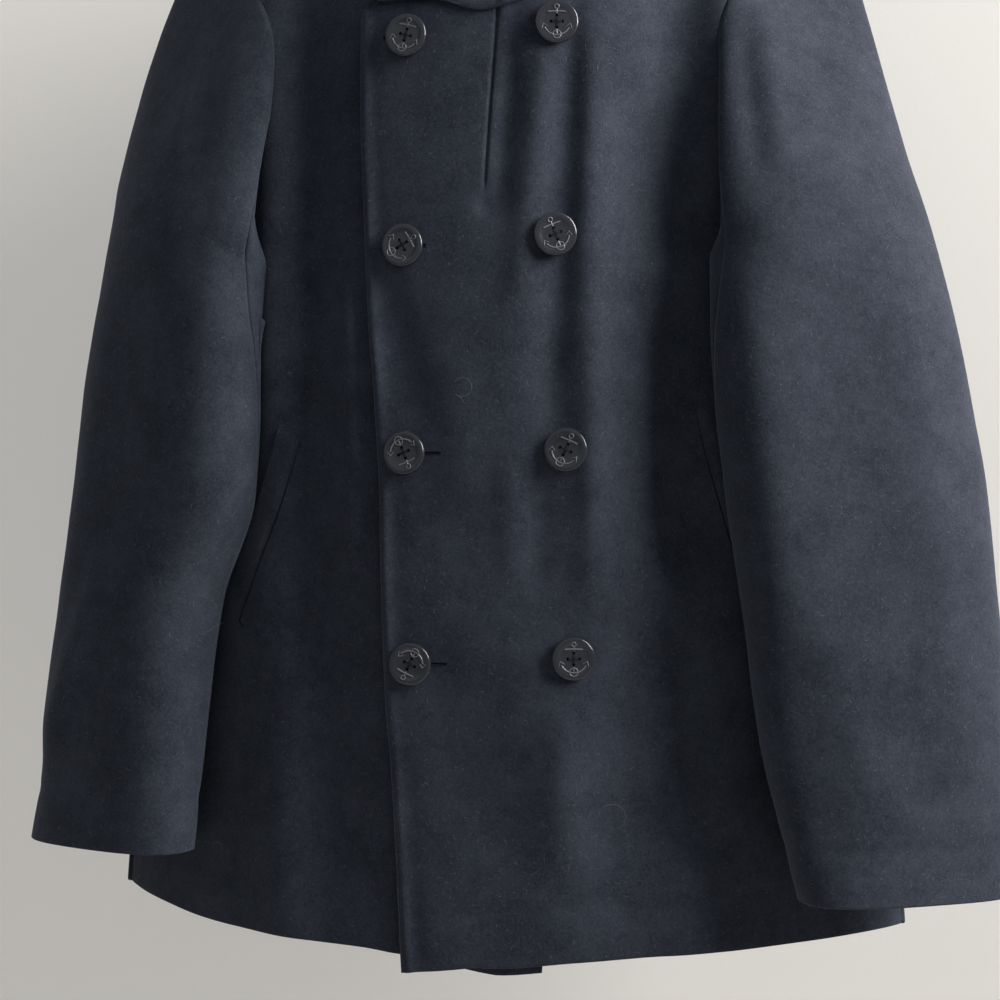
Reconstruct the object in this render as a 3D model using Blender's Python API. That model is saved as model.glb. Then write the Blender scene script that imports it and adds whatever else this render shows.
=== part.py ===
"""A double-breasted pea coat on a plain wooden hanger, in metres, +Z up.

The front faces -Y and +X is the wearer's left. The origin is the point under the hanger's hook
where a rail or peg holds it. Every piece of cloth is a wall 2.5 mm thick, cut as a tailor cuts it,
with 0.3 mm between neighbours at the seams.
"""

import math

import bmesh
import bpy
import numpy as np
from mathutils import Matrix, Vector
from mathutils.bvhtree import BVHTree

for old in list(bpy.data.objects):
    bpy.data.objects.remove(old, do_unlink=True)

# ------------------------------------------------------------------ sizes
WALL = 0.0025  # thickness of the melton cloth
SEAM = 0.0003  # gap between two pieces at a seam
LAP = 0.0038  # how far the top front stands off the under front
UNDER_BACK = 0.0042  # how far the covered part of the under front lies back
ARMPIT_Z = -0.360
NECK_Z = -0.100  # shoulder seam at the neck
NECK_HALF = 0.076
BACK_NECK_DROP = 0.022
SHOULDER_HALF = 0.225  # neck centre to sleeve head
SHOULDER_FALL = 0.045  # neck to sleeve head
FRONT_ROUND = 0.125  # height over which the front rolls to the shoulder seam
BACK_ROUND = 0.085
FRONT_LENS = 0.82  # how full the hanging front is towards its side seams
BACK_LENS = 0.60

BUTTON_D = 0.0286
BUTTON_T = 0.0048
BUTTON_HOLE_D = 0.0022
BUTTON_HOLE_OFF = 0.0037

HOOK_WIRE = 0.0036
HOOK_INNER_R = 0.018


def table(columns, *rows):
    """A table with named columns, sorted by its first one."""
    names = columns.split()
    data = np.array(sorted(rows), float)
    return {"key": names[0], **{name: data[:, i] for i, name in enumerate(names)}}


def read(tab, name, value):
    """The column at a value of the key, on a smooth curve through the rows."""
    keys = tab[tab["key"]]
    vals = tab[name]
    rise = np.diff(vals) / np.diff(keys)
    both = rise[:-1] * rise[1:]
    inside = np.where(both > 0, 2 * both / np.where(both > 0, rise[:-1] + rise[1:], 1), 0)
    slope = np.concatenate([rise[:1], inside, rise[-1:]])
    value = np.clip(value, keys[0], keys[-1])
    i = np.clip(np.searchsorted(keys, value) - 1, 0, len(keys) - 2)
    step = keys[i + 1] - keys[i]
    t = (value - keys[i]) / step
    a = vals[i] * (1 + 2 * t) * (1 - t) ** 2 + vals[i + 1] * t**2 * (3 - 2 * t)
    b = step * (slope[i] * t * (1 - t) ** 2 - slope[i + 1] * t**2 * (1 - t))
    return a + b


# Body sections: side seams on -X and +X, depth of the front and the back, y of the side seams.
BODY = table(
    "z minus plus front back side",
    (-0.870, -0.286, 0.279, 0.102, 0.044, 0.012),
    (-0.780, -0.279, 0.273, 0.106, 0.047, 0.010),
    (-0.680, -0.270, 0.266, 0.111, 0.050, 0.006),
    (-0.560, -0.259, 0.257, 0.112, 0.050, 0.002),
    (-0.450, -0.250, 0.249, 0.110, 0.054, 0.000),
    (-0.360, -0.245, 0.245, 0.108, 0.058, 0.000),
    (-0.280, -0.245, 0.245, 0.104, 0.060, 0.000),
    (-0.200, -0.245, 0.245, 0.096, 0.060, 0.000),
    (-0.100, -0.245, 0.245, 0.086, 0.058, 0.000),
)
# Hem height across the coat, for the body and for the under front's corner.
HEM = table(
    "x z",
    (-0.286, -0.8345),
    (-0.262, -0.8405),
    (-0.190, -0.8515),
    (-0.120, -0.8555),
    (-0.088, -0.8568),
    (-0.060, -0.8600),
    (0.000, -0.8655),
    (0.060, -0.8605),
    (0.150, -0.8560),
    (0.279, -0.8495),
)
# Armhole, from the side seam (share 0) up to the sleeve head (share 1).
ARMHOLE = table(
    "share front back",
    (0.00, 0.2450, 0.2450),
    (0.07, 0.2060, 0.2260),
    (0.16, 0.1720, 0.2120),
    (0.30, 0.1535, 0.2020),
    (0.48, 0.1510, 0.1980),
    (0.66, 0.1640, 0.2010),
    (0.84, 0.1955, 0.2110),
    (1.00, 0.2250, 0.2250),
)
# The edge of the top front, which laps to -X, and the roll line above its break.
TOP_EDGE = table(
    "z x",
    (-0.870, -0.0590),
    (-0.848, -0.0606),
    (-0.780, -0.0637),
    (-0.720, -0.0664),
    (-0.684, -0.0694),
    (-0.620, -0.0712),
    (-0.550, -0.0722),
    (-0.487, -0.0760),
    (-0.420, -0.0814),
    (-0.360, -0.0842),
    (-0.275, -0.0874),
    (-0.222, -0.0868),
    (-0.200, -0.0520),
    (-0.160, 0.0140),
    (-0.120, 0.0640),
    (-0.100, 0.0760),
)
UNDER_EDGE = table(
    "z x",
    (-0.870, 0.0330),
    (-0.750, 0.0440),
    (-0.500, 0.0640),
    (-0.222, 0.0800),
    (-0.200, 0.0500),
    (-0.160, -0.0140),
    (-0.120, -0.0640),
    (-0.100, -0.0760),
)
# The largest folds: a line from one end to the other, its width and its height (minus is a valley).
FOLDS = table(
    "x0 z0 x1 z1 width height",
    (-0.123, -0.22, -0.129, -0.42, 0.022, -0.0068),
    (-0.122, -0.43, -0.112, -0.82, 0.026, -0.0100),
    (-0.160, -0.18, -0.160, -0.50, 0.020, 0.0095),
    (0.160, -0.16, 0.158, -0.34, 0.018, 0.0100),
    (0.122, -0.20, 0.124, -0.40, 0.022, -0.0080),
    (-0.096, -0.420, -0.094, -0.620, 0.0180, 0.0030),
    (-0.129, -0.660, -0.151, -0.870, 0.0240, 0.0050),
    (0.019, -0.420, 0.019, -0.550, 0.0240, 0.0020),
    (0.074, -0.420, 0.072, -0.620, 0.0220, 0.0040),
    (0.126, -0.41, 0.126, -0.60, 0.028, -0.0110),
    (-0.012, -0.660, 0.004, -0.790, 0.0260, -0.0025),
    (0.050, -0.680, 0.040, -0.870, 0.0260, 0.0030),
    (0.120, -0.62, 0.112, -0.80, 0.034, -0.0090),
    (0.153, -0.720, 0.163, -0.870, 0.0260, 0.0040),
)
BACK_FOLDS = table(
    "x0 z0 x1 z1 width height",
    (-0.170, -0.46, -0.185, -0.87, 0.026, 0.0050),
    (-0.085, -0.52, -0.095, -0.87, 0.030, -0.0050),
    (0.010, -0.55, 0.020, -0.87, 0.028, 0.0040),
    (0.095, -0.50, 0.110, -0.87, 0.028, -0.0050),
    (0.180, -0.44, 0.190, -0.87, 0.026, 0.0050),
)
# Sleeve sections below the sleeve head: outer end, inner end and half of the depth.
SLEEVE_MINUS = table(
    "row out_x out_y out_z in_x in_y in_z half",
    (0, 0.2760, -0.008, -0.342, 0.1600, -0.092, -0.388, 0.041),
    (1, 0.2849, -0.016, -0.400, 0.1625, -0.094, -0.430, 0.038),
    (2, 0.2964, -0.020, -0.468, 0.1640, -0.094, -0.482, 0.036),
    (3, 0.3044, -0.026, -0.548, 0.1690, -0.092, -0.552, 0.036),
    (4, 0.3109, -0.030, -0.622, 0.1945, -0.086, -0.622, 0.037),
    (5, 0.3212, -0.032, -0.697, 0.2035, -0.086, -0.697, 0.035),
    (6, 0.3254, -0.032, -0.741, 0.2085, -0.086, -0.744, 0.033),
    (7, 0.3349, -0.032, -0.7940, 0.2130, -0.086, -0.7950, 0.030),
)
SLEEVE_PLUS = table(
    "row out_x out_y out_z in_x in_y in_z half",
    (0, 0.2814, -0.010, -0.342, 0.1500, -0.096, -0.388, 0.042),
    (1, 0.2974, -0.020, -0.400, 0.1500, -0.104, -0.430, 0.040),
    (2, 0.3119, -0.026, -0.468, 0.1530, -0.106, -0.482, 0.039),
    (3, 0.3256, -0.032, -0.550, 0.1610, -0.104, -0.555, 0.039),
    (4, 0.3334, -0.036, -0.632, 0.1715, -0.100, -0.632, 0.039),
    (5, 0.3394, -0.036, -0.708, 0.1810, -0.098, -0.710, 0.037),
    (6, 0.3434, -0.036, -0.765, 0.1940, -0.096, -0.766, 0.034),
    (7, 0.3454, -0.036, -0.8150, 0.2070, -0.096, -0.8155, 0.031),
)
# Angles round the sleeve: at the armhole, on the first section, and on the lower ones.
# The underarm turns to the back of the hanging sleeve.
WARP = table(
    "armhole first lower",
    (0, 0, 0),
    (60, 80, 82),
    (115, 169, 184),
    (131, 183, 196),
    (180, 325, 222),
    (230, 340, 254),
    (300, 349, 305),
    (360, 360, 360),
)
# How the sleeve head swells between the armhole and the first section, by angle round the sleeve.
SWELL = table(
    "angle spread minus plus fore up",
    (0, 50, 0.0120, 0.0060, 0.0000, 0.0040),
    (112, 44, -0.0030, -0.0040, 0.0080, 0.0000),
    (205, 40, 0.0150, 0.0120, 0.0000, 0.0030),
)
# Slanted pocket welts: the inner and the outer edge, from the top down.
WELT_MINUS = table(
    "row in_x in_z out_x out_z",
    (0, -0.1310, -0.5085, -0.1470, -0.4970),
    (1, -0.1390, -0.5330, -0.1555, -0.5235),
    (2, -0.1485, -0.5620, -0.1660, -0.5540),
    (3, -0.1630, -0.5960, -0.1815, -0.5890),
    (4, -0.1800, -0.6370, -0.1990, -0.6300),
)
WELT_PLUS = table(
    "row in_x in_z out_x out_z",
    (0, 0.1350, -0.4870, 0.1520, -0.4780),
    (1, 0.1410, -0.5160, 0.1590, -0.5080),
    (2, 0.1500, -0.5480, 0.1680, -0.5400),
    (3, 0.1600, -0.5830, 0.1780, -0.5750),
    (4, 0.1720, -0.6200, 0.1900, -0.6120),
)
# Button centres and the turn of each about its own axis, in degrees.
BUTTONS = table(
    "number x z turn",
    (1, -0.0534, -0.2443, 16),
    (2, -0.0548, -0.3844, 60),
    (3, -0.0534, -0.5219, 157),
    (4, -0.0507, -0.6614, 206),
    (5, 0.0463, -0.2393, 0),
    (6, 0.0450, -0.3791, -22),
    (7, 0.0542, -0.5203, 24),
    (8, 0.0574, -0.6568, 0),
)
# Lapels: from the roll line to the outer edge, both from the break up to the gorge.
LAPEL_TOP = table(
    "row roll_x roll_z out_x out_z",
    (0, -0.0790, -0.2170, -0.0740, -0.2200),
    (1, -0.0430, -0.1940, -0.0340, -0.2222),
    (2, -0.0060, -0.1710, -0.0030, -0.2300),
    (3, 0.0280, -0.1500, 0.0460, -0.2150),
    (4, 0.0520, -0.1330, 0.0880, -0.1980),
    (5, 0.0665, -0.1225, 0.1240, -0.1720),
)
LAPEL_UNDER = table(
    "row roll_x roll_z out_x out_z",
    (0, -0.0080, -0.1680, -0.0620, -0.2020),
    (1, -0.0240, -0.1560, -0.0780, -0.1990),
    (2, -0.0420, -0.1425, -0.0950, -0.1920),
    (3, -0.0560, -0.1310, -0.1100, -0.1830),
    (4, -0.0665, -0.1225, -0.1240, -0.1720),
)
# Collar stations from the centre back round to one end, mirrored for the other:
# the neck seam, the fold along the top and the outer edge of the fall.
COLLAR = table(
    "row seam_x seam_y seam_z fold_x fold_y fold_z edge_x edge_y edge_z",
    (0, 0.000, 0.0388, -0.1214, 0.000, 0.0500, -0.081, 0.000, 0.0700, -0.1500),
    (1, 0.030, 0.0352, -0.1174, 0.031, 0.0470, -0.080, 0.042, 0.0690, -0.1490),
    (2, 0.056, 0.0252, -0.1084, 0.058, 0.0340, -0.078, 0.088, 0.0590, -0.1410),
    (3, 0.070, 0.0140, -0.1022, 0.075, 0.0150, -0.076, 0.124, 0.0300, -0.1165),
    (4, 0.0748, -0.0040, -0.0984, 0.081, -0.0100, -0.077, 0.133, -0.0130, -0.1105),
    (5, 0.0680, -0.0275, -0.1060, 0.078, -0.0360, -0.083, 0.131, -0.0540, -0.1240),
    (6, 0.0612, -0.0420, -0.1150, 0.070, -0.0560, -0.093, 0.119, -0.0800, -0.1480),
)
CLOTH = (0.020, 0.023, 0.030, 1.0)
BUTTON_BLACK = (0.006, 0.007, 0.010, 1.0)
WOOD = (0.33, 0.19, 0.09, 1.0)
STEEL = (0.56, 0.56, 0.55, 1.0)


# ------------------------------------------------------------------ materials and meshes
def material(name, colour, rough, metal=0.0):
    mat = bpy.data.materials.new(name)
    mat.use_nodes = True
    shader = mat.node_tree.nodes["Principled BSDF"]
    shader.inputs["Base Color"].default_value = colour
    shader.inputs["Roughness"].default_value = rough
    shader.inputs["Metallic"].default_value = metal
    mat.diffuse_color = colour
    return mat


def make(name, verts, faces, colour, rough, metal=0.0):
    """One closed piece, with normals outward and its own material."""
    mesh = bpy.data.meshes.new(name)
    mesh.from_pydata([tuple(map(float, v)) for v in verts], [], faces)
    bm = bmesh.new()
    bm.from_mesh(mesh)
    bmesh.ops.recalc_face_normals(bm, faces=bm.faces)
    bm.to_mesh(mesh)
    bm.free()
    mesh.materials.append(material(name + "_mat", colour, rough, metal))
    for poly in mesh.polygons:
        poly.use_smooth = True
    obj = bpy.data.objects.new(name, mesh)
    bpy.context.scene.collection.objects.link(obj)
    return obj


def grid_triangles(rows, cols, start=0, flip=False):
    tris = []
    for r in range(rows - 1):
        for c in range(cols - 1):
            a = start + r * cols + c
            quad = (a, a + 1, a + cols + 1, a + cols)
            if flip:
                quad = quad[::-1]
            tris.append((quad[0], quad[1], quad[2]))
            tris.append((quad[0], quad[2], quad[3]))
    return tris


def grid_normals(grid, toward):
    """Unit normals of a grid of points, on the side given by a point-wise direction."""
    along = np.gradient(grid, axis=1)
    up = np.gradient(grid, axis=0)
    n = np.cross(along, up)
    n /= np.linalg.norm(n, axis=2, keepdims=True) + 1e-12
    if np.sum(n * toward) < 0:
        n = -n
    return n


def wall(name, grid, toward, thick=WALL, normals=None):
    """A cloth panel: the outer grid, the same grid moved in by the cloth's thickness, and the rims."""
    rows, cols = grid.shape[:2]
    if normals is None:
        normals = grid_normals(grid, toward)
    inner = grid - normals * thick
    verts = np.concatenate([grid.reshape(-1, 3), inner.reshape(-1, 3)])
    n = rows * cols
    faces = grid_triangles(rows, cols) + grid_triangles(rows, cols, n, True)
    rim = [c for c in range(cols)]
    rim += [r * cols + cols - 1 for r in range(1, rows)]
    rim += [(rows - 1) * cols + c for c in range(cols - 2, -1, -1)]
    rim += [r * cols for r in range(rows - 2, 0, -1)]
    for i, a in enumerate(rim):
        b = rim[(i + 1) % len(rim)]
        if a < b:
            faces += [(a, b + n, b), (a, a + n, b + n)]
        else:
            faces += [(a, a + n, b), (b, a + n, b + n)]
    return make(name, verts, faces, CLOTH, 0.95)


def tree(*grids):
    """A search tree over the outer faces of one or more grids."""
    verts = []
    tris = []
    for grid in grids:
        start = len(verts)
        verts += [Vector(p) for p in grid.reshape(-1, 3)]
        tris += grid_triangles(*grid.shape[:2], start)
    return BVHTree.FromPolygons(verts, tris)


def front_hit(surface, x, z):
    """Where a line from the front meets the cloth at (x, z), and the cloth's normal there."""
    point, normal, _, _ = surface.ray_cast(Vector((x, -1.0, z)), Vector((0, 1, 0)))
    if point is None:
        return None, None
    if normal.y > 0:
        normal = -normal
    return point, normal


# ------------------------------------------------------------------ the body's form
def shoulder_z(x):
    beyond = np.clip(np.abs(x) - NECK_HALF, 0, None) / (SHOULDER_HALF - NECK_HALF)
    return NECK_Z - SHOULDER_FALL * beyond**1.08


def fold_height(tab, x, z):
    """Sum of the soft troughs and ridges at (x, z), in metres out of the cloth."""
    total = np.zeros(np.broadcast(x, z).shape)
    for i in range(len(tab["x0"])):
        a = np.array([tab["x0"][i], tab["z0"][i]])
        b = np.array([tab["x1"][i], tab["z1"][i]])
        d = b - a
        length = np.hypot(*d)
        along = ((x - a[0]) * d[0] + (z - a[1]) * d[1]) / length**2
        off = ((x - a[0]) * d[1] - (z - a[1]) * d[0]) / length
        fade = np.clip(np.minimum(along + 0.12, 1.12 - along) / 0.3, 0, 1)
        fade = fade * fade * (3 - 2 * fade)
        total += tab["height"][i] * fade * np.exp(-((off / tab["width"][i]) ** 2))
    return total


def body_point(x, z, sign):
    """The outside of the hanging body; sign -1 is the front, +1 the back."""
    half = np.where(x < 0, -read(BODY, "minus", z), read(BODY, "plus", z))
    xi = np.clip(np.abs(x) / half, 0, 1)
    lens = (1 - xi**2) ** (FRONT_LENS if sign < 0 else BACK_LENS)
    depth = read(BODY, "front" if sign < 0 else "back", z)
    over = FRONT_ROUND if sign < 0 else BACK_ROUND
    drop = np.clip((shoulder_z(x) - z) / over, 0, 1)
    rise = np.sqrt(np.clip(1 - (1 - drop) ** 2.2, 0, 1))
    side = read(BODY, "side", z)
    folds = fold_height(FOLDS if sign < 0 else BACK_FOLDS, x, z)
    y = side + sign * (depth * lens * rise + folds * np.minimum(lens * 2, 1) * rise)
    return np.stack([x, y, z + 0 * x], -1)


LOW = np.linspace(0, 1, 10)[:-1]
SHARE = np.array([0, 0.03, 0.08, 0.16, 0.27, 0.39, 0.52, 0.66, 0.79, 0.89, 0.96, 1.0])
COLUMNS = 13


def panel(edge, side, sign, gap_x, top=None):
    """A body panel: columns from its inner edge to its side seam and armhole, rows hem to shoulder.

    edge gives the inner edge's x at a height, side is -1 or +1, sign -1 is a front, +1 a back.
    """
    rows = []
    arm = "front" if sign < 0 else "back"
    for low in LOW:
        flat = HEM["z"].mean() + (ARMPIT_Z - HEM["z"].mean()) * low
        half = abs(read(BODY, "minus" if side < 0 else "plus", flat))
        a0 = math.asin(np.clip(edge(flat) * side / half, -1, 1))
        a1 = math.pi / 2 - gap_x / half
        x = side * half * np.sin(np.linspace(a0, a1, COLUMNS))
        x[0] = edge(flat)
        hem = np.interp(x, HEM["x"], HEM["z"])
        rows.append((x, hem + (ARMPIT_Z - hem) * low))
    for share in SHARE:
        height = NECK_Z if top is None else top(edge(NECK_Z))
        flat = ARMPIT_Z + (height - ARMPIT_Z) * share
        half = 0.245
        start = edge(flat) * side
        squeeze = (min(read(ARMHOLE, arm, share), half - gap_x) - start) / (half - gap_x - start)
        a0 = math.asin(np.clip(start / half, -1, 1))
        wide = half * np.sin(np.linspace(a0, math.pi / 2 - gap_x / half, COLUMNS))
        x = side * (start + (wide - start) * squeeze)
        x[0] = edge(flat)
        roof = shoulder_z(x) if top is None else np.minimum(shoulder_z(x), top(x))
        rows.append((x, ARMPIT_Z + (roof - ARMPIT_Z) * share))
    grid = np.array([body_point(x, z, sign) for x, z in rows])
    grid[-1, :, 1] += sign * SEAM / 2
    grid[: len(LOW) + 1, -1, 1] += sign * SEAM / 2
    return grid


def back_neck(x):
    inside = np.clip(1 - (np.abs(x) / NECK_HALF) ** 2, 0, 1)
    return NECK_Z - BACK_NECK_DROP * inside + 0 * x


outward_front = np.array([0.0, -1.0, 0.0])
outward_back = np.array([0.0, 1.0, 0.0])

under_front = panel(lambda z: read(UNDER_EDGE, "x", z), -1, -1, SEAM / 2)
# The under front's corner hangs a little lower than the hem over it.
corner = np.clip((under_front[0, :, 0] + 0.045) / 0.05, 0, 1)
for low, row in zip(LOW, under_front):
    row[:, 2] -= 0.0065 * corner * (1 - low) ** 3
# Under the top front it lies flat, a little further back.
x_in = under_front[..., 0] - read(TOP_EDGE, "x", under_front[..., 2])
covered = np.clip((x_in + 0.012) / 0.024, 0, 1)
covered = covered * covered * (3 - 2 * covered)
folds = fold_height(FOLDS, under_front[..., 0], under_front[..., 2])
under_front[..., 1] += covered * (folds + UNDER_BACK)

top_front = panel(lambda z: read(TOP_EDGE, "x", z), 1, -1, SEAM / 2)
corner = np.clip((-0.010 - top_front[0, :, 0]) / 0.05, 0, 1)
for low, row in zip(LOW, top_front):
    row[:, 2] -= 0.0110 * corner * (1 - low) ** 3
# The top front stands off the under one by its thickness, and more where the lapel rolls.
reach = np.clip((0.115 - top_front[..., 0]) / 0.055, 0, 1)
reach = reach * reach * (3 - 2 * reach)
roll = np.clip((top_front[..., 2] + 0.275) / 0.05, 0, 1) * np.clip((NECK_Z - top_front[..., 2]) / 0.05, 0, 1)
top_front[..., 1] -= reach * (LAP + 0.0036 * roll)

back_minus = panel(lambda z: -SEAM / 2 + 0 * z, -1, 1, SEAM / 2, back_neck)
back_plus = panel(lambda z: SEAM / 2 + 0 * z, 1, 1, SEAM / 2, back_neck)


def square(values, keep):
    """Unit directions with only the kept axes, so that a wall is cut square at a seam."""
    values = values * np.array(keep)
    return values / (np.linalg.norm(values, axis=-1, keepdims=True) + 1e-12)


def body_wall(name, grid, toward, side, centre_seam):
    """A body panel, cut square where it meets its neighbours at the side, shoulder and centre."""
    normals = grid_normals(grid, toward)
    sideways = np.array([float(side), 0.0, 0.0])
    for r in range(len(LOW) + 1):
        normals[r, -1] = sideways
    normals[-1] = square(normals[-1] + np.array([0, 0, 0.2]), (1, 0, 1))
    if centre_seam:
        normals[:, 0] = square(normals[:, 0], (0, 1, 1))
        normals[-1, 0] = square(toward, (0, 1, 0))
    wall(name, grid, toward, normals=normals)


body_wall("front_left", top_front, outward_front, 1, False)
body_wall("front_right", under_front, outward_front, -1, False)
body_wall("back_left", back_plus, outward_back, 1, True)
body_wall("back_right", back_minus, outward_back, -1, True)


# ------------------------------------------------------------------ welts, lapels and collar
def laid_on(name, surface, tab, first, second, across, lift, rows=None, crown=0.0):
    """A flat piece laid on a panel: its points are the panel's, moved out along the front's direction."""
    keys = tab["row"] if rows is None else np.linspace(tab["row"][0], tab["row"][-1], rows)
    grid = []
    for key in keys:
        line = []
        for share in np.linspace(0, 1, across):
            a = np.array([read(tab, first + "_x", key), read(tab, first + "_z", key)])
            b = np.array([read(tab, second + "_x", key), read(tab, second + "_z", key)])
            x, z = a + (b - a) * share
            point, normal = front_hit(surface, x, z)
            if point is None:
                point, normal, _, _ = surface.find_nearest(Vector((x, -0.08, z)))
            out = lift + crown * math.sin(math.pi * share)
            line.append((x, point.y - out / max(0.5, abs(normal.y)), z))
        grid.append(line)
    grid = np.array(grid)
    wall(name, grid, outward_front)
    return grid


top_tree = tree(top_front)
under_tree = tree(under_front)
raised = WALL + SEAM + 0.0004
welt_right = laid_on("welt_right", under_tree, WELT_MINUS, "in", "out", 3, raised, 9)
welt_left = laid_on("welt_left", top_tree, WELT_PLUS, "in", "out", 3, raised, 9)
lapel_left = laid_on("lapel_left", top_tree, LAPEL_TOP, "roll", "out", 7, raised + 0.0012, 13, 0.0015)
lapel_right = laid_on("lapel_right", under_tree, LAPEL_UNDER, "roll", "out", 7, raised + 0.0009, 9, 0.0010)


def collar_profile(row, flip):
    """The stand, the fold and the fall at one station, from the neck seam to the outer edge."""
    seam, fold, edge = (
        np.array([read(COLLAR, part + axis, row) for axis in ("_x", "_y", "_z")])
        for part in ("seam", "fold", "edge")
    )
    out = edge - fold
    out[2] = 0
    out /= np.linalg.norm(out)
    crest = fold + out * 0.0045 + np.array([0, 0, 0.0035])
    far = fold + out * 0.0100 + np.array([0, 0, -0.0020])
    bend = far + (edge - far) * 0.30 + out * 0.0035
    low = far + (edge - far) * 0.66 + out * 0.0030
    points = np.array([seam, seam + (fold - seam) * 0.55, fold, crest, far, bend, low, edge])
    points[:, 0] *= flip
    return points


stations = np.linspace(6, 0, 15)
collar = [collar_profile(s, -1) for s in stations] + [collar_profile(s, 1) for s in stations[-2::-1]]
collar = np.array(collar)
spread = np.broadcast_to(collar[:, 4:5] - collar[:, 1:2], collar.shape)
fall_side = np.where(np.arange(8)[None, :, None] >= 2, spread, 0 * spread)
wall("collar", collar, fall_side)


# ------------------------------------------------------------------ sleeves
def armhole_loop(front, back, side):
    """The armhole's points on the panels' edges, from the sleeve head down the front and up the back."""
    low = len(LOW)
    edge = np.concatenate([front[low:, -1][::-1], back[low + 1 : -1, -1]])
    skin = np.concatenate([front_normals(front, -1)[low:, -1][::-1], front_normals(back, 1)[low + 1 : -1, -1]])
    along = np.roll(edge, -1, axis=0) - np.roll(edge, 1, axis=0)
    away = np.cross(skin, along)
    away /= np.linalg.norm(away, axis=1, keepdims=True)
    if away[:, 0].sum() * side < 0:
        away = -away
    return edge, away, skin


def front_normals(grid, sign):
    return grid_normals(grid, np.array([0.0, float(sign), 0.0]))


STATIONS = 2 * len(SHARE) - 2
FRONT_SEAM = 7  # station of the seam near the inner edge, on the front
BACK_SEAM = STATIONS - 4  # station of the seam behind the outer edge
HEAD_ROWS = (0.10, 0.22, 0.36, 0.50, 0.65, 0.82)
SLEEVE_ROWS = (0, 0.5, 1, 2, 3, 3.5, 4, 5, 6, 7)
bodies = tree(under_front, top_front, welt_right, welt_left)


def sleeve_oval(tab, side, row):
    """One section of a sleeve, as a flattened oval between its outer and its inner end."""
    outer = np.array([side * read(tab, "out_x", row), read(tab, "out_y", row), read(tab, "out_z", row)])
    inner = np.array([side * read(tab, "in_x", row), read(tab, "in_y", row), read(tab, "in_z", row)])
    axis = (outer - inner) / 2
    d = axis / np.linalg.norm(axis)
    fore = np.array([0.0, -1.0, 0.0])
    fore = fore - d * fore.dot(d)
    fore /= np.linalg.norm(fore)
    angle = np.linspace(0, 360, STATIONS + 1)[:-1]
    lower = min(1.0, row / 3)
    turn = np.radians(read(WARP, "first", angle) * (1 - lower) + read(WARP, "lower", angle) * lower)
    square_off = 0.92 - 0.10 * lower
    c = np.sign(np.cos(turn)) * np.abs(np.cos(turn)) ** square_off
    s = np.sign(np.sin(turn)) * np.abs(np.sin(turn)) ** square_off
    return (outer + inner) / 2 + c[:, None] * axis + s[:, None] * fore * read(tab, "half", row)


def swell(side):
    """The head's swelling at each station, at its fullest."""
    out = "plus" if side > 0 else "minus"
    angle = np.linspace(0, 360, STATIONS + 1)[:-1]
    total = np.zeros((STATIONS, 3))
    for i in range(len(SWELL["angle"])):
        off = (angle - SWELL["angle"][i] + 180) % 360 - 180
        share = np.exp(-((off / SWELL["spread"][i]) ** 2))
        push = np.array([side * SWELL[out][i], -SWELL["fore"][i], SWELL["up"][i]])
        total += share[:, None] * push
    return total


def sleeve_rings(tab, side, front, back, early, fade):
    edge, away, skin = armhole_loop(front, back, side)
    loop = edge + away * (SEAM + 0.0005)
    rings = [loop]
    first = sleeve_oval(tab, side, 0)
    angle = np.linspace(0, 360, STATIONS + 1)[:-1]
    low = np.clip((75 - np.abs(angle - 185)) / 30, 0, 1)[:, None]
    for head in HEAD_ROWS:
        start = head / HEAD_ROWS[0] * math.exp(1 - head / HEAD_ROWS[0])
        ring = loop + (first - loop) * head + swell(side) * math.sin(math.pi * head**early) ** fade
        rings.append(ring + (away * 0.005 + skin * 0.004) * low * start)
    rings += [sleeve_oval(tab, side, row) for row in SLEEVE_ROWS]
    rings = np.array(rings)
    for i, ring in enumerate(rings[1:], 1):
        room = 0.0010 + 0.0036 * min(1.0, i / 3)
        for point in ring:
            hit, _ = front_hit(bodies, point[0], point[2])
            if hit is not None:
                point[1] = min(point[1], hit.y - room)
    for _ in range(4):
        clear_between(rings)
    return rings, away


def clear_between(rings):
    """Moves the corners of a facet forward where its middle or an edge of it would meet the body."""
    for r in range(1, len(rings) - 1):
        for k in range(STATIONS):
            n = (k + 1) % STATIONS
            for corners in (((r, k), (r, n)), ((r, k), (r + 1, k)), ((r, k), (r, n), (r + 1, n), (r + 1, k))):
                middle = sum(rings[c] for c in corners) / len(corners)
                hit, _ = front_hit(bodies, middle[0], middle[2])
                if hit is not None and middle[1] > hit.y - 0.0012:
                    short = middle[1] - (hit.y - 0.0012)
                    for c in corners:
                        rings[c][1] -= short


def sleeve_piece(name, rings, away, first, last):
    """The part of a sleeve between two seams."""
    cols = [k % STATIONS for k in range(first, last + 1)]
    grid = rings[:, cols].copy()
    closed = np.concatenate([rings[:, -1:], rings, rings[:, :1]], axis=1)
    normals = grid_normals(closed, closed - closed.mean(axis=1, keepdims=True))[:, 1:-1]
    lean = np.clip((normals[0] * away).sum(axis=1, keepdims=True), 0, None)
    normals[0] -= away * lean
    normals[0] /= np.linalg.norm(normals[0], axis=1, keepdims=True)
    normals = normals[:, cols]
    for edge, nxt in ((0, 1), (-1, -2)):
        d = grid[:, nxt] - grid[:, edge]
        d /= np.linalg.norm(d, axis=1, keepdims=True)
        grid[:, edge] += d * (SEAM / 2 + 0.00005)
    wall(name, grid, None, normals=normals)
    return grid


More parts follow.
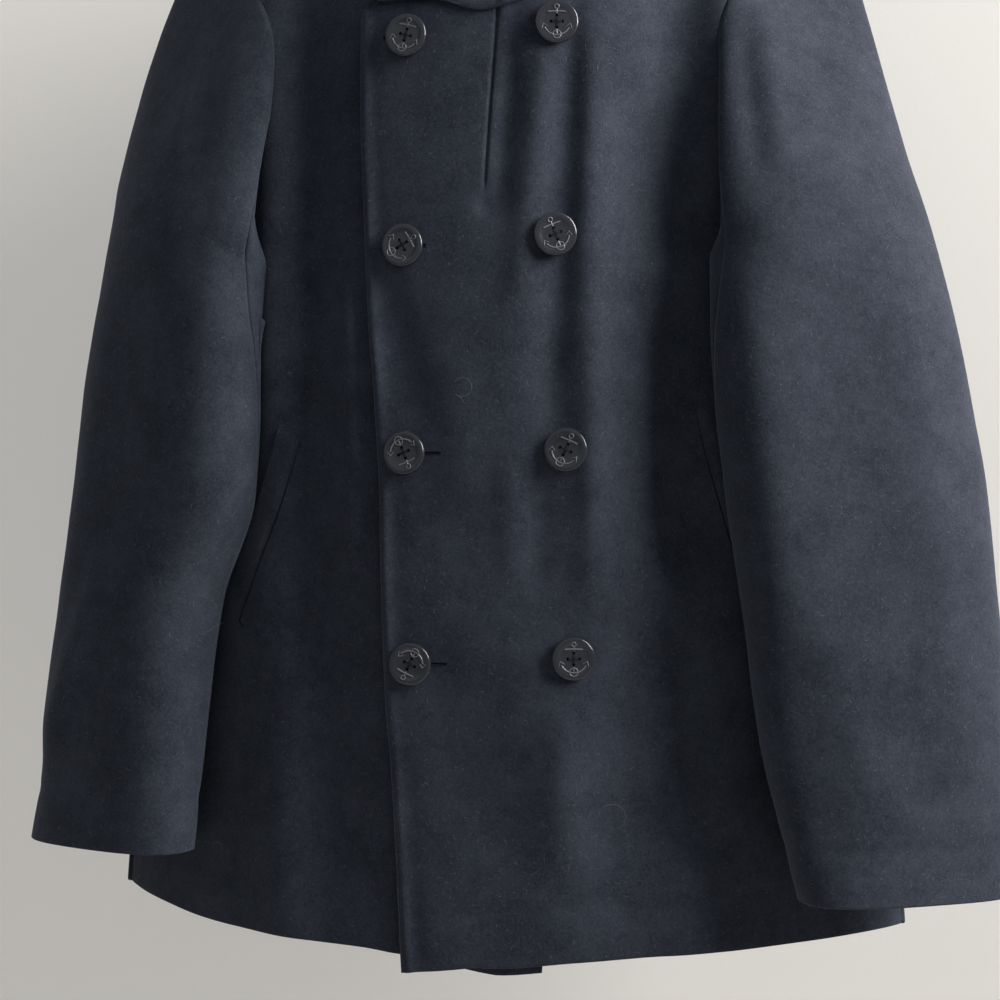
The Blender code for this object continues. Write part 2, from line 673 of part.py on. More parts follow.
for label, tab, side, front, back, early, fade in (
    ("right", SLEEVE_MINUS, -1, under_front, back_minus, 1.0, 0.6),
    ("left", SLEEVE_PLUS, 1, top_front, back_plus, 0.62, 1.2),
):
    rings, away = sleeve_rings(tab, side, front, back, early, fade)
    sleeve_piece("top_sleeve_" + label, rings, away, BACK_SEAM - STATIONS, FRONT_SEAM)
    sleeve_piece("under_sleeve_" + label, rings, away, FRONT_SEAM, BACK_SEAM)


# ------------------------------------------------------------------ buttons
def button_mesh(segments=18):
    """A four-hole button: a flat back, a rounded rim and a sunk middle, axis along +Z."""
    r = BUTTON_D / 2
    t = BUTTON_T
    profile = [(0.0, 0.0), (r * 0.86, 0.0), (r, t * 0.42), (r * 0.95, t * 0.85), (r * 0.86, t)]
    profile += [(r * 0.58, t * 0.78), (0.0, t * 0.70)]
    bm = bmesh.new()
    rings = []
    for radius, z in profile:
        if radius == 0:
            rings.append([bm.verts.new((0, 0, z))])
            continue
        turn = [2 * math.pi * k / segments for k in range(segments)]
        rings.append([bm.verts.new((radius * math.cos(a), radius * math.sin(a), z)) for a in turn])
    for low, high in zip(rings, rings[1:]):
        for k in range(segments):
            n = (k + 1) % segments
            if len(low) == 1:
                bm.faces.new((low[0], high[n], high[k]))
            elif len(high) == 1:
                bm.faces.new((low[k], low[n], high[0]))
            else:
                bm.faces.new((low[k], low[n], high[n], high[k]))
    bmesh.ops.recalc_face_normals(bm, faces=bm.faces)
    return bm


def pierce(obj, places, radius, length, axis, sides=8):
    """Cuts straight round holes through a piece, all in one direction."""
    bm = bmesh.new()
    for place in places:
        turn = Vector((0, 0, 1)).rotation_difference(Vector(axis)).to_matrix().to_4x4()
        where = Matrix.Translation(place) @ turn
        sizes = {"segments": sides, "radius1": radius, "radius2": radius, "depth": length}
        bmesh.ops.create_cone(bm, cap_ends=True, matrix=where, **sizes)
    mesh = bpy.data.meshes.new(obj.name + "_cutter")
    bm.to_mesh(mesh)
    bm.free()
    cutter = bpy.data.objects.new(obj.name + "_cutter", mesh)
    bpy.context.scene.collection.objects.link(cutter)
    cut = obj.modifiers.new("holes", "BOOLEAN")
    cut.object = cutter
    cut.operation = "DIFFERENCE"
    cut.solver = "EXACT"
    bpy.context.view_layer.update()
    shaped = bpy.data.meshes.new_from_object(obj.evaluated_get(bpy.context.evaluated_depsgraph_get()))
    obj.modifiers.clear()
    obj.data = shaped
    bpy.data.objects.remove(cutter, do_unlink=True)


both = tree(top_front)
for i, number in enumerate(BUTTONS["number"]):
    bm = button_mesh()
    mesh = bpy.data.meshes.new(f"button_{int(number)}")
    bm.to_mesh(mesh)
    bm.free()
    button = bpy.data.objects.new(f"button_{int(number)}", mesh)
    bpy.context.scene.collection.objects.link(button)
    mesh.materials.append(material(f"button_{int(number)}_mat", BUTTON_BLACK, 0.22))
    off = BUTTON_HOLE_OFF
    four = [(off, 0, 0), (0, off, 0), (-off, 0, 0), (0, -off, 0)]
    pierce(button, four, BUTTON_HOLE_D / 2, 0.03, (0, 0, 1), 6)
    x, z = BUTTONS["x"][i], BUTTONS["z"][i]
    here, normal = front_hit(both, x, z)
    across = normal.cross(Vector((0, 0, 1))).normalized()
    upward = across.cross(normal).normalized()
    stand = 0.0
    for k in range(12):
        a = 2 * math.pi * k / 12
        spot = here + (across * math.cos(a) + upward * math.sin(a)) * BUTTON_D * 0.45
        hit, _ = front_hit(both, spot.x, spot.z)
        if hit is not None:
            stand = max(stand, (hit - here).dot(normal))
    turn = math.radians(BUTTONS["turn"][i])
    right = -across * math.cos(turn) - upward * math.sin(turn)
    top = normal.cross(right)
    basis = Matrix((right, top, normal)).transposed().to_4x4()
    button.matrix_world = Matrix.Translation(here + normal * (stand + SEAM + 0.00005)) @ basis
    for poly in button.data.polygons:
        poly.use_smooth = True


# ------------------------------------------------------------------ hanger and hook
def tube(path, radii_y, radii_z, sides, power=1.0):
    """A closed bar along a path in the XZ plane, with oval sections."""
    verts = []
    count = len(path)
    for i, (x, z) in enumerate(path):
        ahead = np.array(path[min(i + 1, count - 1)]) - np.array(path[max(i - 1, 0)])
        ahead = ahead / np.linalg.norm(ahead)
        up = np.array([-ahead[1], ahead[0]])
        for k in range(sides):
            a = 2 * math.pi * k / sides
            c = math.copysign(abs(math.cos(a)) ** power, math.cos(a))
            s = math.copysign(abs(math.sin(a)) ** power, math.sin(a))
            verts.append((x + up[0] * s * radii_z[i], c * radii_y[i], z + up[1] * s * radii_z[i]))
    faces = []
    for i in range(count - 1):
        for k in range(sides):
            n = (k + 1) % sides
            faces.append((i * sides + k, i * sides + n, (i + 1) * sides + n, (i + 1) * sides + k))
    faces.append(tuple(range(sides))[::-1])
    faces.append(tuple((count - 1) * sides + k for k in range(sides)))
    return verts, faces


HANGER = table(
    "x top half_y half_z",
    (0.000, -0.0873, 0.0058, 0.0150),
    (0.020, -0.0893, 0.0058, 0.0145),
    (0.050, -0.0978, 0.0056, 0.0135),
    (0.080, -0.1055, 0.0055, 0.0130),
    (0.120, -0.1161, 0.0055, 0.0130),
    (0.160, -0.1279, 0.0052, 0.0130),
    (0.190, -0.1376, 0.0046, 0.0115),
    (0.204, -0.1436, 0.0036, 0.0085),
)
reach_x = np.concatenate([-HANGER["x"][:0:-1], HANGER["x"]])
bar = [(x, read(HANGER, "top", abs(x)) - read(HANGER, "half_z", abs(x))) for x in reach_x]
half_y = [read(HANGER, "half_y", abs(x)) for x in reach_x]
half_z = [read(HANGER, "half_z", abs(x)) for x in reach_x]
verts, faces = tube(bar, half_y, half_z, 12, 0.8)
hanger = make("hanger", verts, faces, WOOD, 0.45)
pierce(hanger, [(0, 0, -0.10)], HOOK_WIRE / 2 + 0.00035, 0.08, (0, 0, 1), 12)

wire = HOOK_WIRE / 2
curve_r = HOOK_INNER_R + wire
line = [(0.0, -0.1120), (0.0, -0.0900), (0.0, -0.0680), (0.0008, -0.0580), (0.0048, -0.0480)]
for degrees in range(-42, 206, 12):
    a = math.radians(degrees)
    line.append((curve_r * math.cos(a), -HOOK_INNER_R + curve_r * math.sin(a)))
verts, faces = tube(line, [wire] * len(line), [wire] * len(line), 10)
make("hanger_hook", verts, faces, STEEL, 0.28, 1.0)
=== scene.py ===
"""A navy melton pea coat on a wooden hanger, as it looks: cloth, buttons, stitching, hanger and room.

Metres, +Z up; the front faces -Y and +X is the wearer's left. The origin is under the hook.
"""

import math
import random

import bmesh
import bpy
import numpy as np
from mathutils import Matrix, Vector
from mathutils.bvhtree import BVHTree


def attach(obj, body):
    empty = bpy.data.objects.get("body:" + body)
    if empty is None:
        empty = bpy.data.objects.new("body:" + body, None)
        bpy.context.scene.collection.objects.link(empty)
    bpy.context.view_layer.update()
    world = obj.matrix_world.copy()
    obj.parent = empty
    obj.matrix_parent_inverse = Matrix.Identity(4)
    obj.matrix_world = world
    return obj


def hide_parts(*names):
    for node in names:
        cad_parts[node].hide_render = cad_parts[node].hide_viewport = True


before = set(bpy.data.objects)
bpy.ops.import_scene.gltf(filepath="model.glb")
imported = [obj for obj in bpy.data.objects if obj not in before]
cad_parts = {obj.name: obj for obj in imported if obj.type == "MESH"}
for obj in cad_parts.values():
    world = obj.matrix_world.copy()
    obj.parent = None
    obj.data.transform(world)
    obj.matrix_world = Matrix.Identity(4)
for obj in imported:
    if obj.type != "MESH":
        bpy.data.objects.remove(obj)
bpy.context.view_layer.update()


# ------------------------------------------------------------------ camera
# A level camera a little over a metre from the fronts and slightly to the wearer's left. It takes
# in the coat from the top row of buttons to just under the hem.
CAMERA_TURN = math.radians(8)
CAMERA_DISTANCE = 1.25
CAMERA_TARGET = Vector((0.009, -0.105, -0.553))
CAMERA_HALF_VIEW = 0.264  # half of the picture's width, at one metre


def in_scene(name, data):
    """A new object in the scene."""
    obj = bpy.data.objects.new(name, data)
    bpy.context.scene.collection.objects.link(obj)
    return obj


ahead = Vector((-math.sin(CAMERA_TURN), math.cos(CAMERA_TURN), 0))
lens = bpy.data.cameras.new("camera")
lens.sensor_width = 36
lens.lens = lens.sensor_width / 2 / CAMERA_HALF_VIEW
camera = in_scene("camera", lens)
camera.location = CAMERA_TARGET - ahead * CAMERA_DISTANCE
camera.rotation_euler = ahead.to_track_quat("-Z", "Y").to_euler()
bpy.context.scene.camera = camera


# ------------------------------------------------------------------ room
# The coat hangs just clear of an off-white painted wall, over a pale floor. A wide window on the
# wearer's left gives most of the light, and the rest of the room a soft fill.
WALL_Y = 0.150
WALL_TOP = 1.40
WALL_REACH = 3.0  # of the wall and the floor, each way from the coat
WALL_GLOW = 0.42  # painted light: the wall paint's own even glow, standing in for the light the rest of the room throws on the wall alone
FLOOR_Z = -1.60
PAINT = (0.62, 0.60, 0.57, 1)  # on the wall and on the floor
ROOM_AIR = (0.80, 0.84, 0.90, 1)
ROOM_AIR_GLOW = 0.21
WINDOW_LIGHT = (1.0, 0.985, 0.96)
FILL_LIGHT = (0.90, 0.95, 1.0)


def plane(name, corners, material):
    mesh = bpy.data.meshes.new(name)
    mesh.from_pydata(corners, [], [tuple(range(len(corners)))])
    mesh.materials.append(material)
    return in_scene(name, mesh)


def new_material(name, looks):
    """A material, its node tree and its Principled shader, whose inputs take the looks."""
    material = bpy.data.materials.new(name)
    material.use_nodes = True
    shader = material.node_tree.nodes["Principled BSDF"]
    for label, value in looks.items():
        shader.inputs[label].default_value = value
    return material, material.node_tree, shader


def feed(tree, socket, value):
    """Gives an input its value, or joins another node's output to it."""
    if isinstance(value, bpy.types.NodeSocket):
        tree.links.new(value, socket)
    else:
        socket.default_value = value


def node(tree, kind, **settings):
    """A new node; a setting that is an input's name feeds that input, any other sets the node itself."""
    made = tree.nodes.new(kind)
    for key, value in settings.items():
        label = key.replace("_", " ").title()
        if label in made.inputs:
            feed(tree, made.inputs[label], value)
        else:
            setattr(made, key, value)
    return made


def textured(tree, shader, strength, distance, vector=None, **noise):
    """A noise over the piece's own coordinates that raises the surface; gives the noise."""
    vector = vector or node(tree, "ShaderNodeTexCoord").outputs["Object"]
    height = node(tree, "ShaderNodeTexNoise", vector=vector, **noise).outputs["Fac"]
    bump = node(tree, "ShaderNodeBump", strength=strength, distance=distance, height=height)
    feed(tree, shader.inputs["Normal"], bump.outputs["Normal"])
    return height


def paint_material(name, looks, one_sided):
    """Matt wall paint with a faint roller texture; one-sided paint is clear from behind."""
    material, tree, shader = new_material(name, {"Base Color": PAINT, "Roughness": 0.85, **looks})
    textured(tree, shader, 0.10, 0.0006, scale=340, detail=3.0)
    if one_sided:
        clear = node(tree, "ShaderNodeBsdfTransparent")
        mix = node(tree, "ShaderNodeMixShader", fac=node(tree, "ShaderNodeNewGeometry").outputs["Backfacing"])
        feed(tree, mix.inputs[1], shader.outputs["BSDF"])
        feed(tree, mix.inputs[2], clear.outputs["BSDF"])
        feed(tree, tree.nodes["Material Output"].inputs["Surface"], mix.outputs["Shader"])
    return material


def area_light(name, place, aim, size, power, colour, spread=180):
    lamp = bpy.data.lights.new(name, "AREA")
    lamp.shape = "RECTANGLE"
    lamp.size, lamp.size_y = size
    lamp.energy = power
    lamp.color = colour
    lamp.spread = math.radians(spread)
    obj = in_scene(name, lamp)
    obj.location = place
    obj.rotation_euler = (Vector(aim) - Vector(place)).to_track_quat("-Z", "Y").to_euler()


# The wall glows with painted light of its own, which lifts it where the coat's shadow falls.
painted_wall_glow = {"Emission Color": PAINT, "Emission Strength": WALL_GLOW}
square_turn = ((-1, -1), (1, -1), (1, 1), (-1, 1))
wall_corners = [(i * WALL_REACH, WALL_Y, FLOOR_Z if j < 0 else WALL_TOP) for i, j in square_turn]
floor_corners = [(i * WALL_REACH, j * WALL_REACH, FLOOR_Z) for i, j in square_turn]
plane("wall", wall_corners, paint_material("wall_paint", painted_wall_glow, True))
plane("floor", floor_corners, paint_material("floor_paint", {}, False))
area_light("window", (2.45, -0.66, 0.95), (0.00, -0.05, 0.10), (1.6, 1.8), 64, WINDOW_LIGHT, 100)
area_light("room", (-0.7, -2.2, 0.6), (0.0, 0.0, -0.4), (2.6, 2.2), 3.6, FILL_LIGHT)
area_light("behind", (-0.4, 1.9, 0.5), (0.0, 0.0, -0.5), (2.2, 1.8), 16, FILL_LIGHT)
room_air = bpy.data.worlds.new("room_air")
room_air.use_nodes = True
room_air.node_tree.nodes["Background"].inputs["Color"].default_value = ROOM_AIR
room_air.node_tree.nodes["Background"].inputs["Strength"].default_value = ROOM_AIR_GLOW
bpy.context.scene.world = room_air
bpy.context.scene.view_settings.view_transform = "Standard"


# ------------------------------------------------------------------ fronts and backs
# Four panels of thick melton, milled until the weave is closed and brushed to a short nap. The
# fronts are cut to lap, the wearer's left on top; the backs meet at a centre seam. They hang from
# the shoulders in long soft folds.
WALL = 0.0025  # melton
SEAM = 0.0003
LAP = 0.0038
UNDER_BACK = 0.0042
ARMPIT_Z = -0.360
NECK_Z = -0.100
NECK_HALF = 0.076
BACK_NECK_DROP = 0.022
CHEST_HALF = 0.245
SHOULDER_HALF = 0.225
SHOULDER_FALL = 0.045
FRONT_ROUND = 0.125
BACK_ROUND = 0.085
FRONT_LENS = 0.82
BACK_LENS = 0.60
HEM_FOLD = 0.038  # depth of the turned hem
HEM_SINK = 0.00055
UNDER_CORNER = 0.0065  # how much lower the hem's inner corner hangs
TOP_CORNER = 0.0110
CENTRE_GAP = 0.00006  # between the backs at their centre seam
NAVY = (0.0160, 0.0195, 0.0300, 1)
NAVY_LIT = (0.0440, 0.0510, 0.0690, 1)
FIBRE_GREY = (0.105, 0.112, 0.130, 1)


def table(columns, *rows):
    """A table with named columns, sorted by its first one."""
    names = columns.split()
    data = np.array(sorted(rows), float)
    return {"key": names[0], **{name: data[:, i] for i, name in enumerate(names)}}


def rows_of(tab):
    """The table's rows, in the order of its first column."""
    return zip(*(data for name, data in tab.items() if name != "key"))


PLAIN_COLUMNS = ("key", "row", "share", "number", "turn", "angle", "spread", "start", "end", "button")


def mm_table(columns, *rows):
    """A table whose rows give lengths in millimetres, apart from the plain columns; it holds metres."""
    tab = table(columns, *rows)
    return {name: data if name in PLAIN_COLUMNS else np.round(data * 0.001, 7) for name, data in tab.items()}


def fold_table(*rows):
    """Folds: a line from one end to the other, the fold's width and its height (minus is a valley)."""
    return mm_table("x0 z0 x1 z1 width height", *rows)


def read(tab, name, value):
    """The column at a value of the key, on a smooth curve through the rows."""
    keys = tab[tab["key"]]
    vals = tab[name]
    rise = np.diff(vals) / np.diff(keys)
    both = rise[:-1] * rise[1:]
    inside = np.where(both > 0, 2 * both / np.where(both > 0, rise[:-1] + rise[1:], 1), 0)
    slope = np.concatenate([rise[:1], inside, rise[-1:]])
    value = np.clip(value, keys[0], keys[-1])
    i = np.clip(np.searchsorted(keys, value) - 1, 0, len(keys) - 2)
    step = keys[i + 1] - keys[i]
    t = (value - keys[i]) / step
    a = vals[i] * (1 + 2 * t) * (1 - t) ** 2 + vals[i + 1] * t**2 * (3 - 2 * t)
    b = step * (slope[i] * t * (1 - t) ** 2 - slope[i + 1] * t**2 * (1 - t))
    return a + b


BODY = mm_table(
    "z minus plus front back side",
    (-870, -286, 279, 102, 44, 12),
    (-780, -279, 273, 106, 47, 10),
    (-680, -270, 266, 111, 50, 6),
    (-560, -259, 257, 112, 50, 2),
    (-450, -250, 249, 110, 54, 0),
    (-360, -245, 245, 108, 58, 0),
    (-280, -245, 245, 104, 60, 0),
    (-200, -245, 245, 96, 60, 0),
    (-100, -245, 245, 86, 58, 0),
)
HEM = mm_table(
    "x z",
    (-286, -834.5),
    (-262, -840.5),
    (-190, -851.5),
    (-120, -855.5),
    (-88, -856.8),
    (-60, -860),
    (0, -865.5),
    (60, -860.5),
    (150, -856),
    (279, -849.5),
)
ARMHOLE = mm_table(
    "share front back",
    (0, 245, 245),
    (0.07, 206, 226),
    (0.16, 172, 212),
    (0.3, 153.5, 202),
    (0.48, 151, 198),
    (0.66, 164, 201),
    (0.84, 195.5, 211),
    (1, 225, 225),
)
TOP_EDGE = mm_table(
    "z x",
    (-870, -59),
    (-848, -60.6),
    (-780, -63.7),
    (-720, -66.4),
    (-684, -69.4),
    (-620, -71.2),
    (-550, -72.2),
    (-487, -76),
    (-420, -81.4),
    (-360, -84.2),
    (-275, -87.4),
    (-222, -86.8),
    (-200, -52),
    (-160, 14),
    (-120, 64),
    (-100, 76),
)
UNDER_EDGE = mm_table(
    "z x",
    (-870, 33),
    (-750, 44),
    (-500, 64),
    (-222, 80),
    (-200, 50),
    (-160, -14),
    (-120, -64),
    (-100, -76),
)
# Height up the armhole at each of the twelve notches on its edge.
NOTCHES = table(
    "notch share",
    *enumerate((0, 0.03, 0.08, 0.16, 0.27, 0.39, 0.52, 0.66, 0.79, 0.89, 0.96, 1.0)),
)
FOLDS = fold_table(
    (-123, -220, -129, -420, 22, -6.8),
    (-122, -430, -112, -820, 26, -10),
    (-160, -180, -160, -500, 20, 9.5),
    (160, -160, 158, -340, 18, 10),
    (122, -200, 124, -400, 22, -8),
    (-96, -420, -94, -620, 18, 3),
    (-129, -660, -151, -870, 24, 5),
    (19, -420, 19, -550, 24, 2),
    (74, -420, 72, -620, 22, 4),
    (126, -410, 126, -600, 28, -11),
    (-12, -660, 4, -790, 26, -2.5),
    (50, -680, 40, -870, 26, 3),
    (120, -620, 112, -800, 34, -9),
    (153, -720, 163, -870, 26, 4),
)
BACK_FOLDS = fold_table(
    (-170, -460, -185, -870, 26, 5),
    (-85, -520, -95, -870, 30, -5),
    (10, -550, 20, -870, 28, 4),
    (95, -500, 110, -870, 28, -5),
    (180, -440, 190, -870, 26, 5),
)
# Smaller folds, which lie on the large ones.
TOP_CREASES = fold_table(
    (-70, -400, -44, -505, 13, -3.3),
    (-77, -560, -67, -640, 10, 1.2),
    (-20, -455, -14, -550, 16, 2.4),
    (16, -235, 8, -365, 8, -3.3),
    (38, -255, 21, -425, 10, 3.6),
    (58, -235, 44, -500, 9, -4.2),
    (69, -240, 73, -640, 12, 3.9),
    (15, -530, 19, -600, 10, 1.5),
    (38, -530, 34, -610, 9, -1.8),
    (104, -280, 110, -440, 22, -4.5),
    (-40, -640, -20, -760, 16, -2.1),
    (50, -690, 52, -800, 12, 2.1),
    (90, -660, 80, -800, 16, -2.1),
    (-42, -800, -34, -870, 18, 1.8),
    (120, -790, 130, -870, 16, 2.1),
)
UNDER_CREASES = fold_table(
    (-97, -405, -93, -600, 6.5, 2),
    (-121, -250, -125, -450, 14, -1.7),
    (-111, -670, -119, -800, 10, 1.7),
    (-160, -660, -180, -860, 16, -1.7),
    (-212, -680, -224, -860, 18, 1.5),
    (-145, -290, -135, -480, 10, 1.3),
)
WELT_RIDGES = fold_table(
    (-123.5, -502, -170.5, -640, 6, 0.6),
    (140, -480, 176, -622, 6, 2),
)
BACK_CREASES = fold_table(
    (-140, -200, -110, -400, 16, 1.8),
    (-190, -300, -120, -360, 14, -2.2),
    (-30, -450, -40, -800, 14, 1.6),
    (50, -400, 55, -760, 14, -1.8),
    (135, -210, 105, -420, 18, 2),
    (195, -310, 130, -350, 14, -2),
    (-230, -560, -240, -830, 16, -1.8),
    (235, -600, 240, -830, 16, -1.6),
)
# The dart on the top front, from under the lapel down to its dimple.
DART = mm_table("z x", (-100, 12), (-223.5, 7.3), (-289.2, 2.6), (-352, -1.2))
DART_TOP_Z = -0.150
DART_END_Z = -0.3520
DART_DEPTH = 0.0016
DART_WIDTH = 0.0012
DART_RIDGE = 0.0009  # the cloth beside the dart
DIMPLE = 0.0020  # at the dart's end
LAPEL_RISE = 0.0036  # of the top front where the lapel rolls
EDGE_ROLL = 0.0017  # the turned and pressed front edge, its rise and where it lies
EDGE_ROLL_AT = 0.0042
EDGE_ROLL_WIDTH = 0.0034


def shoulder_z(x):
    beyond = np.clip(np.abs(x) - NECK_HALF, 0, None) / (SHOULDER_HALF - NECK_HALF)
    return NECK_Z - SHOULDER_FALL * beyond**1.08


def smooth_step(value):
    value = np.clip(value, 0, 1)
    return value * value * (3 - 2 * value)


def through(points, count):
    """Points evenly spaced on a smooth curve through the given ones."""
    points = np.asarray(points, float)
    steps = np.concatenate([[0], np.cumsum(np.linalg.norm(np.diff(points, axis=0), axis=1))])
    at = np.linspace(0, steps[-1], count)
    return np.stack([read({"key": "s", "s": steps, "v": column}, "v", at) for column in points.T], 1), at


def bell(off, width):
    """One at no distance off, falling away softly over the width."""
    return np.exp(-((off / width) ** 2))


def fold_height(tab, x, z):
    """Sum of the soft troughs and ridges at (x, z), in metres out of the cloth."""
    total = np.zeros(np.broadcast(x, z).shape)
    for x0, z0, x1, z1, width, height in rows_of(tab):
        length = np.hypot(x1 - x0, z1 - z0)
        along = ((x - x0) * (x1 - x0) + (z - z0) * (z1 - z0)) / length**2
        off = ((x - x0) * (z1 - z0) - (z - z0) * (x1 - x0)) / length
        fade = smooth_step(np.minimum(along + 0.12, 1.12 - along) / 0.3)
        total += height * fade * bell(off, width)
    return total


def cockle(x, y, z):
    """The slight unevenness of thick cloth, about half a millimetre either way."""
    a = np.sin(31 * x + 9 * z + 1.3) * np.sin(17 * z - 12 * x + 0.4)
    b = np.sin(67 * x - 22 * z + 2.1 + 20 * y) * np.sin(38 * z + 25 * x + 4.0)
    c = np.sin(118 * x + 41 * z + 0.7) * np.sin(83 * z - 36 * x + 30 * y + 5.2)
    return 0.00045 * a + 0.00028 * b + 0.00014 * c


def body_point(x, z, sign, creases):
    """The outside of the hanging body; sign -1 is the front, +1 the back."""
    half = np.where(x < 0, -read(BODY, "minus", z), read(BODY, "plus", z))
    xi = np.clip(np.abs(x) / half, 0, 1)
    fullness = (1 - xi**2) ** (FRONT_LENS if sign < 0 else BACK_LENS)
    depth = read(BODY, "front" if sign < 0 else "back", z)
    over = FRONT_ROUND if sign < 0 else BACK_ROUND
    drop = np.clip((shoulder_z(x) - z) / over, 0, 1)
    rise = np.sqrt(np.clip(1 - (1 - drop) ** 2.2, 0, 1))
    side = read(BODY, "side", z)
    folds = fold_height(FOLDS if sign < 0 else BACK_FOLDS, x, z) + fold_height(creases, x, z)
    if sign < 0:
        folds = folds + fold_height(WELT_RIDGES, x, z)
    folds = folds + cockle(x, 0.1 * sign, z)
    y = side + sign * (depth * fullness * rise + folds * np.minimum(fullness * 2, 1) * rise)
    return np.stack([x, y, z + 0 * x], -1)


def spaced(start, end, places, width, count):
    """Numbers from start to end, closer together near each of the given places."""
    fine = np.linspace(start, end, 600)
    density = np.ones(600)
    for place in places:
        density += 4.5 * bell(fine - place, width)
    total = np.concatenate([[0], np.cumsum((density[1:] + density[:-1]) / 2)])
    return np.interp(np.linspace(0, total[-1], count), total, fine)


LOW_ROWS = 150
NOTCH_STEPS = 5
ARM_SHARES = read(NOTCHES, "share", np.linspace(0, 11, 11 * NOTCH_STEPS + 1))


def panel(edge, side, sign, creases, columns, top=None, places=()):
    """A body panel: columns from its inner edge to its side seam and armhole, rows hem to shoulder."""
    arm = "front" if sign < 0 else "back"
    gap = SEAM / 2
    hem_level = HEM["z"].mean()

    def across(start, half, near):
        """Distances out from the start, even round the body and closer together near some places."""
        turns = [math.asin(np.clip(place / half, -1, 1)) for place in (start, *near)]
        return half * np.sin(spaced(turns[0], math.pi / 2 - gap / half, turns[1:], 0.022, columns))

    rows = []
    for low in np.linspace(0, 1, LOW_ROWS)[:-1]:
        flat = hem_level + (ARMPIT_Z - hem_level) * low
        half = abs(read(BODY, "minus" if side < 0 else "plus", flat))
        x = side * across(edge(flat) * side, half, [place(flat) * side for place in places])
        x[0] = edge(flat)
        hem = read(HEM, "z", x)
        rows.append((x, hem + (ARMPIT_Z - hem) * low))
    for share in ARM_SHARES:
        height = NECK_Z if top is None else top(edge(NECK_Z))
        flat = ARMPIT_Z + (height - ARMPIT_Z) * share
        start = edge(flat) * side
        squeeze = (min(read(ARMHOLE, arm, share), CHEST_HALF - gap) - start) / (CHEST_HALF - gap - start)
        near = [start + (place(flat) * side - start) / squeeze for place in places]
        x = side * (start + (across(start, CHEST_HALF, near) - start) * squeeze)
        x[0] = edge(flat)
        roof = shoulder_z(x) if top is None else np.minimum(shoulder_z(x), top(x))
        rows.append((x, ARMPIT_Z + (roof - ARMPIT_Z) * share))
    grid = np.array([body_point(x, z, sign, creases) for x, z in rows])
    grid[-1, :, 1] += sign * SEAM / 2
    grid[:LOW_ROWS, -1, 1] += sign * SEAM / 2
    return grid


def unit(vectors):
    """The vectors of an array, each made one long."""
    return vectors / (np.linalg.norm(vectors, axis=-1, keepdims=True) + 1e-12)


def grid_normals(grid, toward):
    """Unit normals of a grid of points, on the side given by a direction."""
    n = unit(np.cross(np.gradient(grid, axis=1), np.gradient(grid, axis=0)))
    return -n if np.sum(n * toward) < 0 else n


def grid_quads(rows, cols, start=0):
    a = (start + np.arange(rows - 1)[:, None] * cols + np.arange(cols - 1)).reshape(-1)
    return np.stack([a, a + 1, a + cols + 1, a + cols], 1)


EDGE_ARC = 5  # steps round the turned edge of a piece
SEAM_ROLL = 0.00014  # radius of a seam's edge


def cloth_shell(name, grid, toward, thick=WALL, normals=None, material=None, seams=""):
    """A piece of cloth: its outer face, its inner face and a turned edge between them.

    The edge is round where it is free and tight along the sides named in seams: first, last,
    left and right, for the grid's rows and columns.
    """
    rows, cols = grid.shape[:2]
    if normals is None:
        normals = grid_normals(grid, toward)
    index = np.arange(rows * cols).reshape(rows, cols)
    rim = np.concatenate([index[0], index[1:, -1], index[-1, -2::-1], index[-2:0:-1, 0]])
    outer = grid.reshape(-1, 3).copy()
    flat_normals = normals.reshape(-1, 3)
    edge = outer[rim]
    along = np.roll(edge, -1, axis=0) - np.roll(edge, 1, axis=0)
    out = unit(np.cross(along, flat_normals[rim]))
    middle = grid[rows // 2, cols // 2]
    if np.sum(out[cols // 2] * (edge[cols // 2] - middle)) < 0:
        out = -out
    half = thick / 2
    turned = {side: SEAM_ROLL if side in seams else half for side in ("first", "right", "last", "left")}
    counts = (cols, rows - 1, cols - 1, rows - 2)
    roll = np.concatenate([np.full(n, turned[side]) for side, n in zip(turned, counts)])[:, None]
    outer[rim] = edge - out * roll
    inner = outer - flat_normals * thick
    verts = [outer, inner]
    for step in range(1, EDGE_ARC):
        turn = math.pi * step / EDGE_ARC
        inward = out * roll * (1 - math.sin(turn)) + flat_normals[rim] * half * (1 - math.cos(turn))
        verts.append(edge - inward)
    count = rows * cols
    between = [2 * count + np.arange(len(rim)) + len(rim) * k for k in range(EDGE_ARC - 1)]
    loops = [rim] + between + [rim + count]
    faces = [grid_quads(rows, cols), grid_quads(rows, cols, count)[:, ::-1]]
    for low, high in zip(loops, loops[1:]):
        faces.append(np.stack([np.roll(low, -1), low, high, np.roll(high, -1)], 1))
    return solid_piece(name, np.concatenate(verts), np.concatenate(faces), material or melton)


def solid_piece(name, verts, faces, material):
    """A mesh object at the origin, smooth, with its faces turned outwards."""
    mesh = bpy.data.meshes.new(name)
    if isinstance(faces, np.ndarray):
        faces = faces.tolist()
    mesh.from_pydata(np.asarray(verts, float).tolist(), [], faces)
    bm = bmesh.new()
    bm.from_mesh(mesh)
    bmesh.ops.recalc_face_normals(bm, faces=bm.faces)
    bm.to_mesh(mesh)
    bm.free()
    mesh.polygons.foreach_set("use_smooth", [True] * len(mesh.polygons))
    mesh.materials.append(material)
    return in_scene(name, mesh)


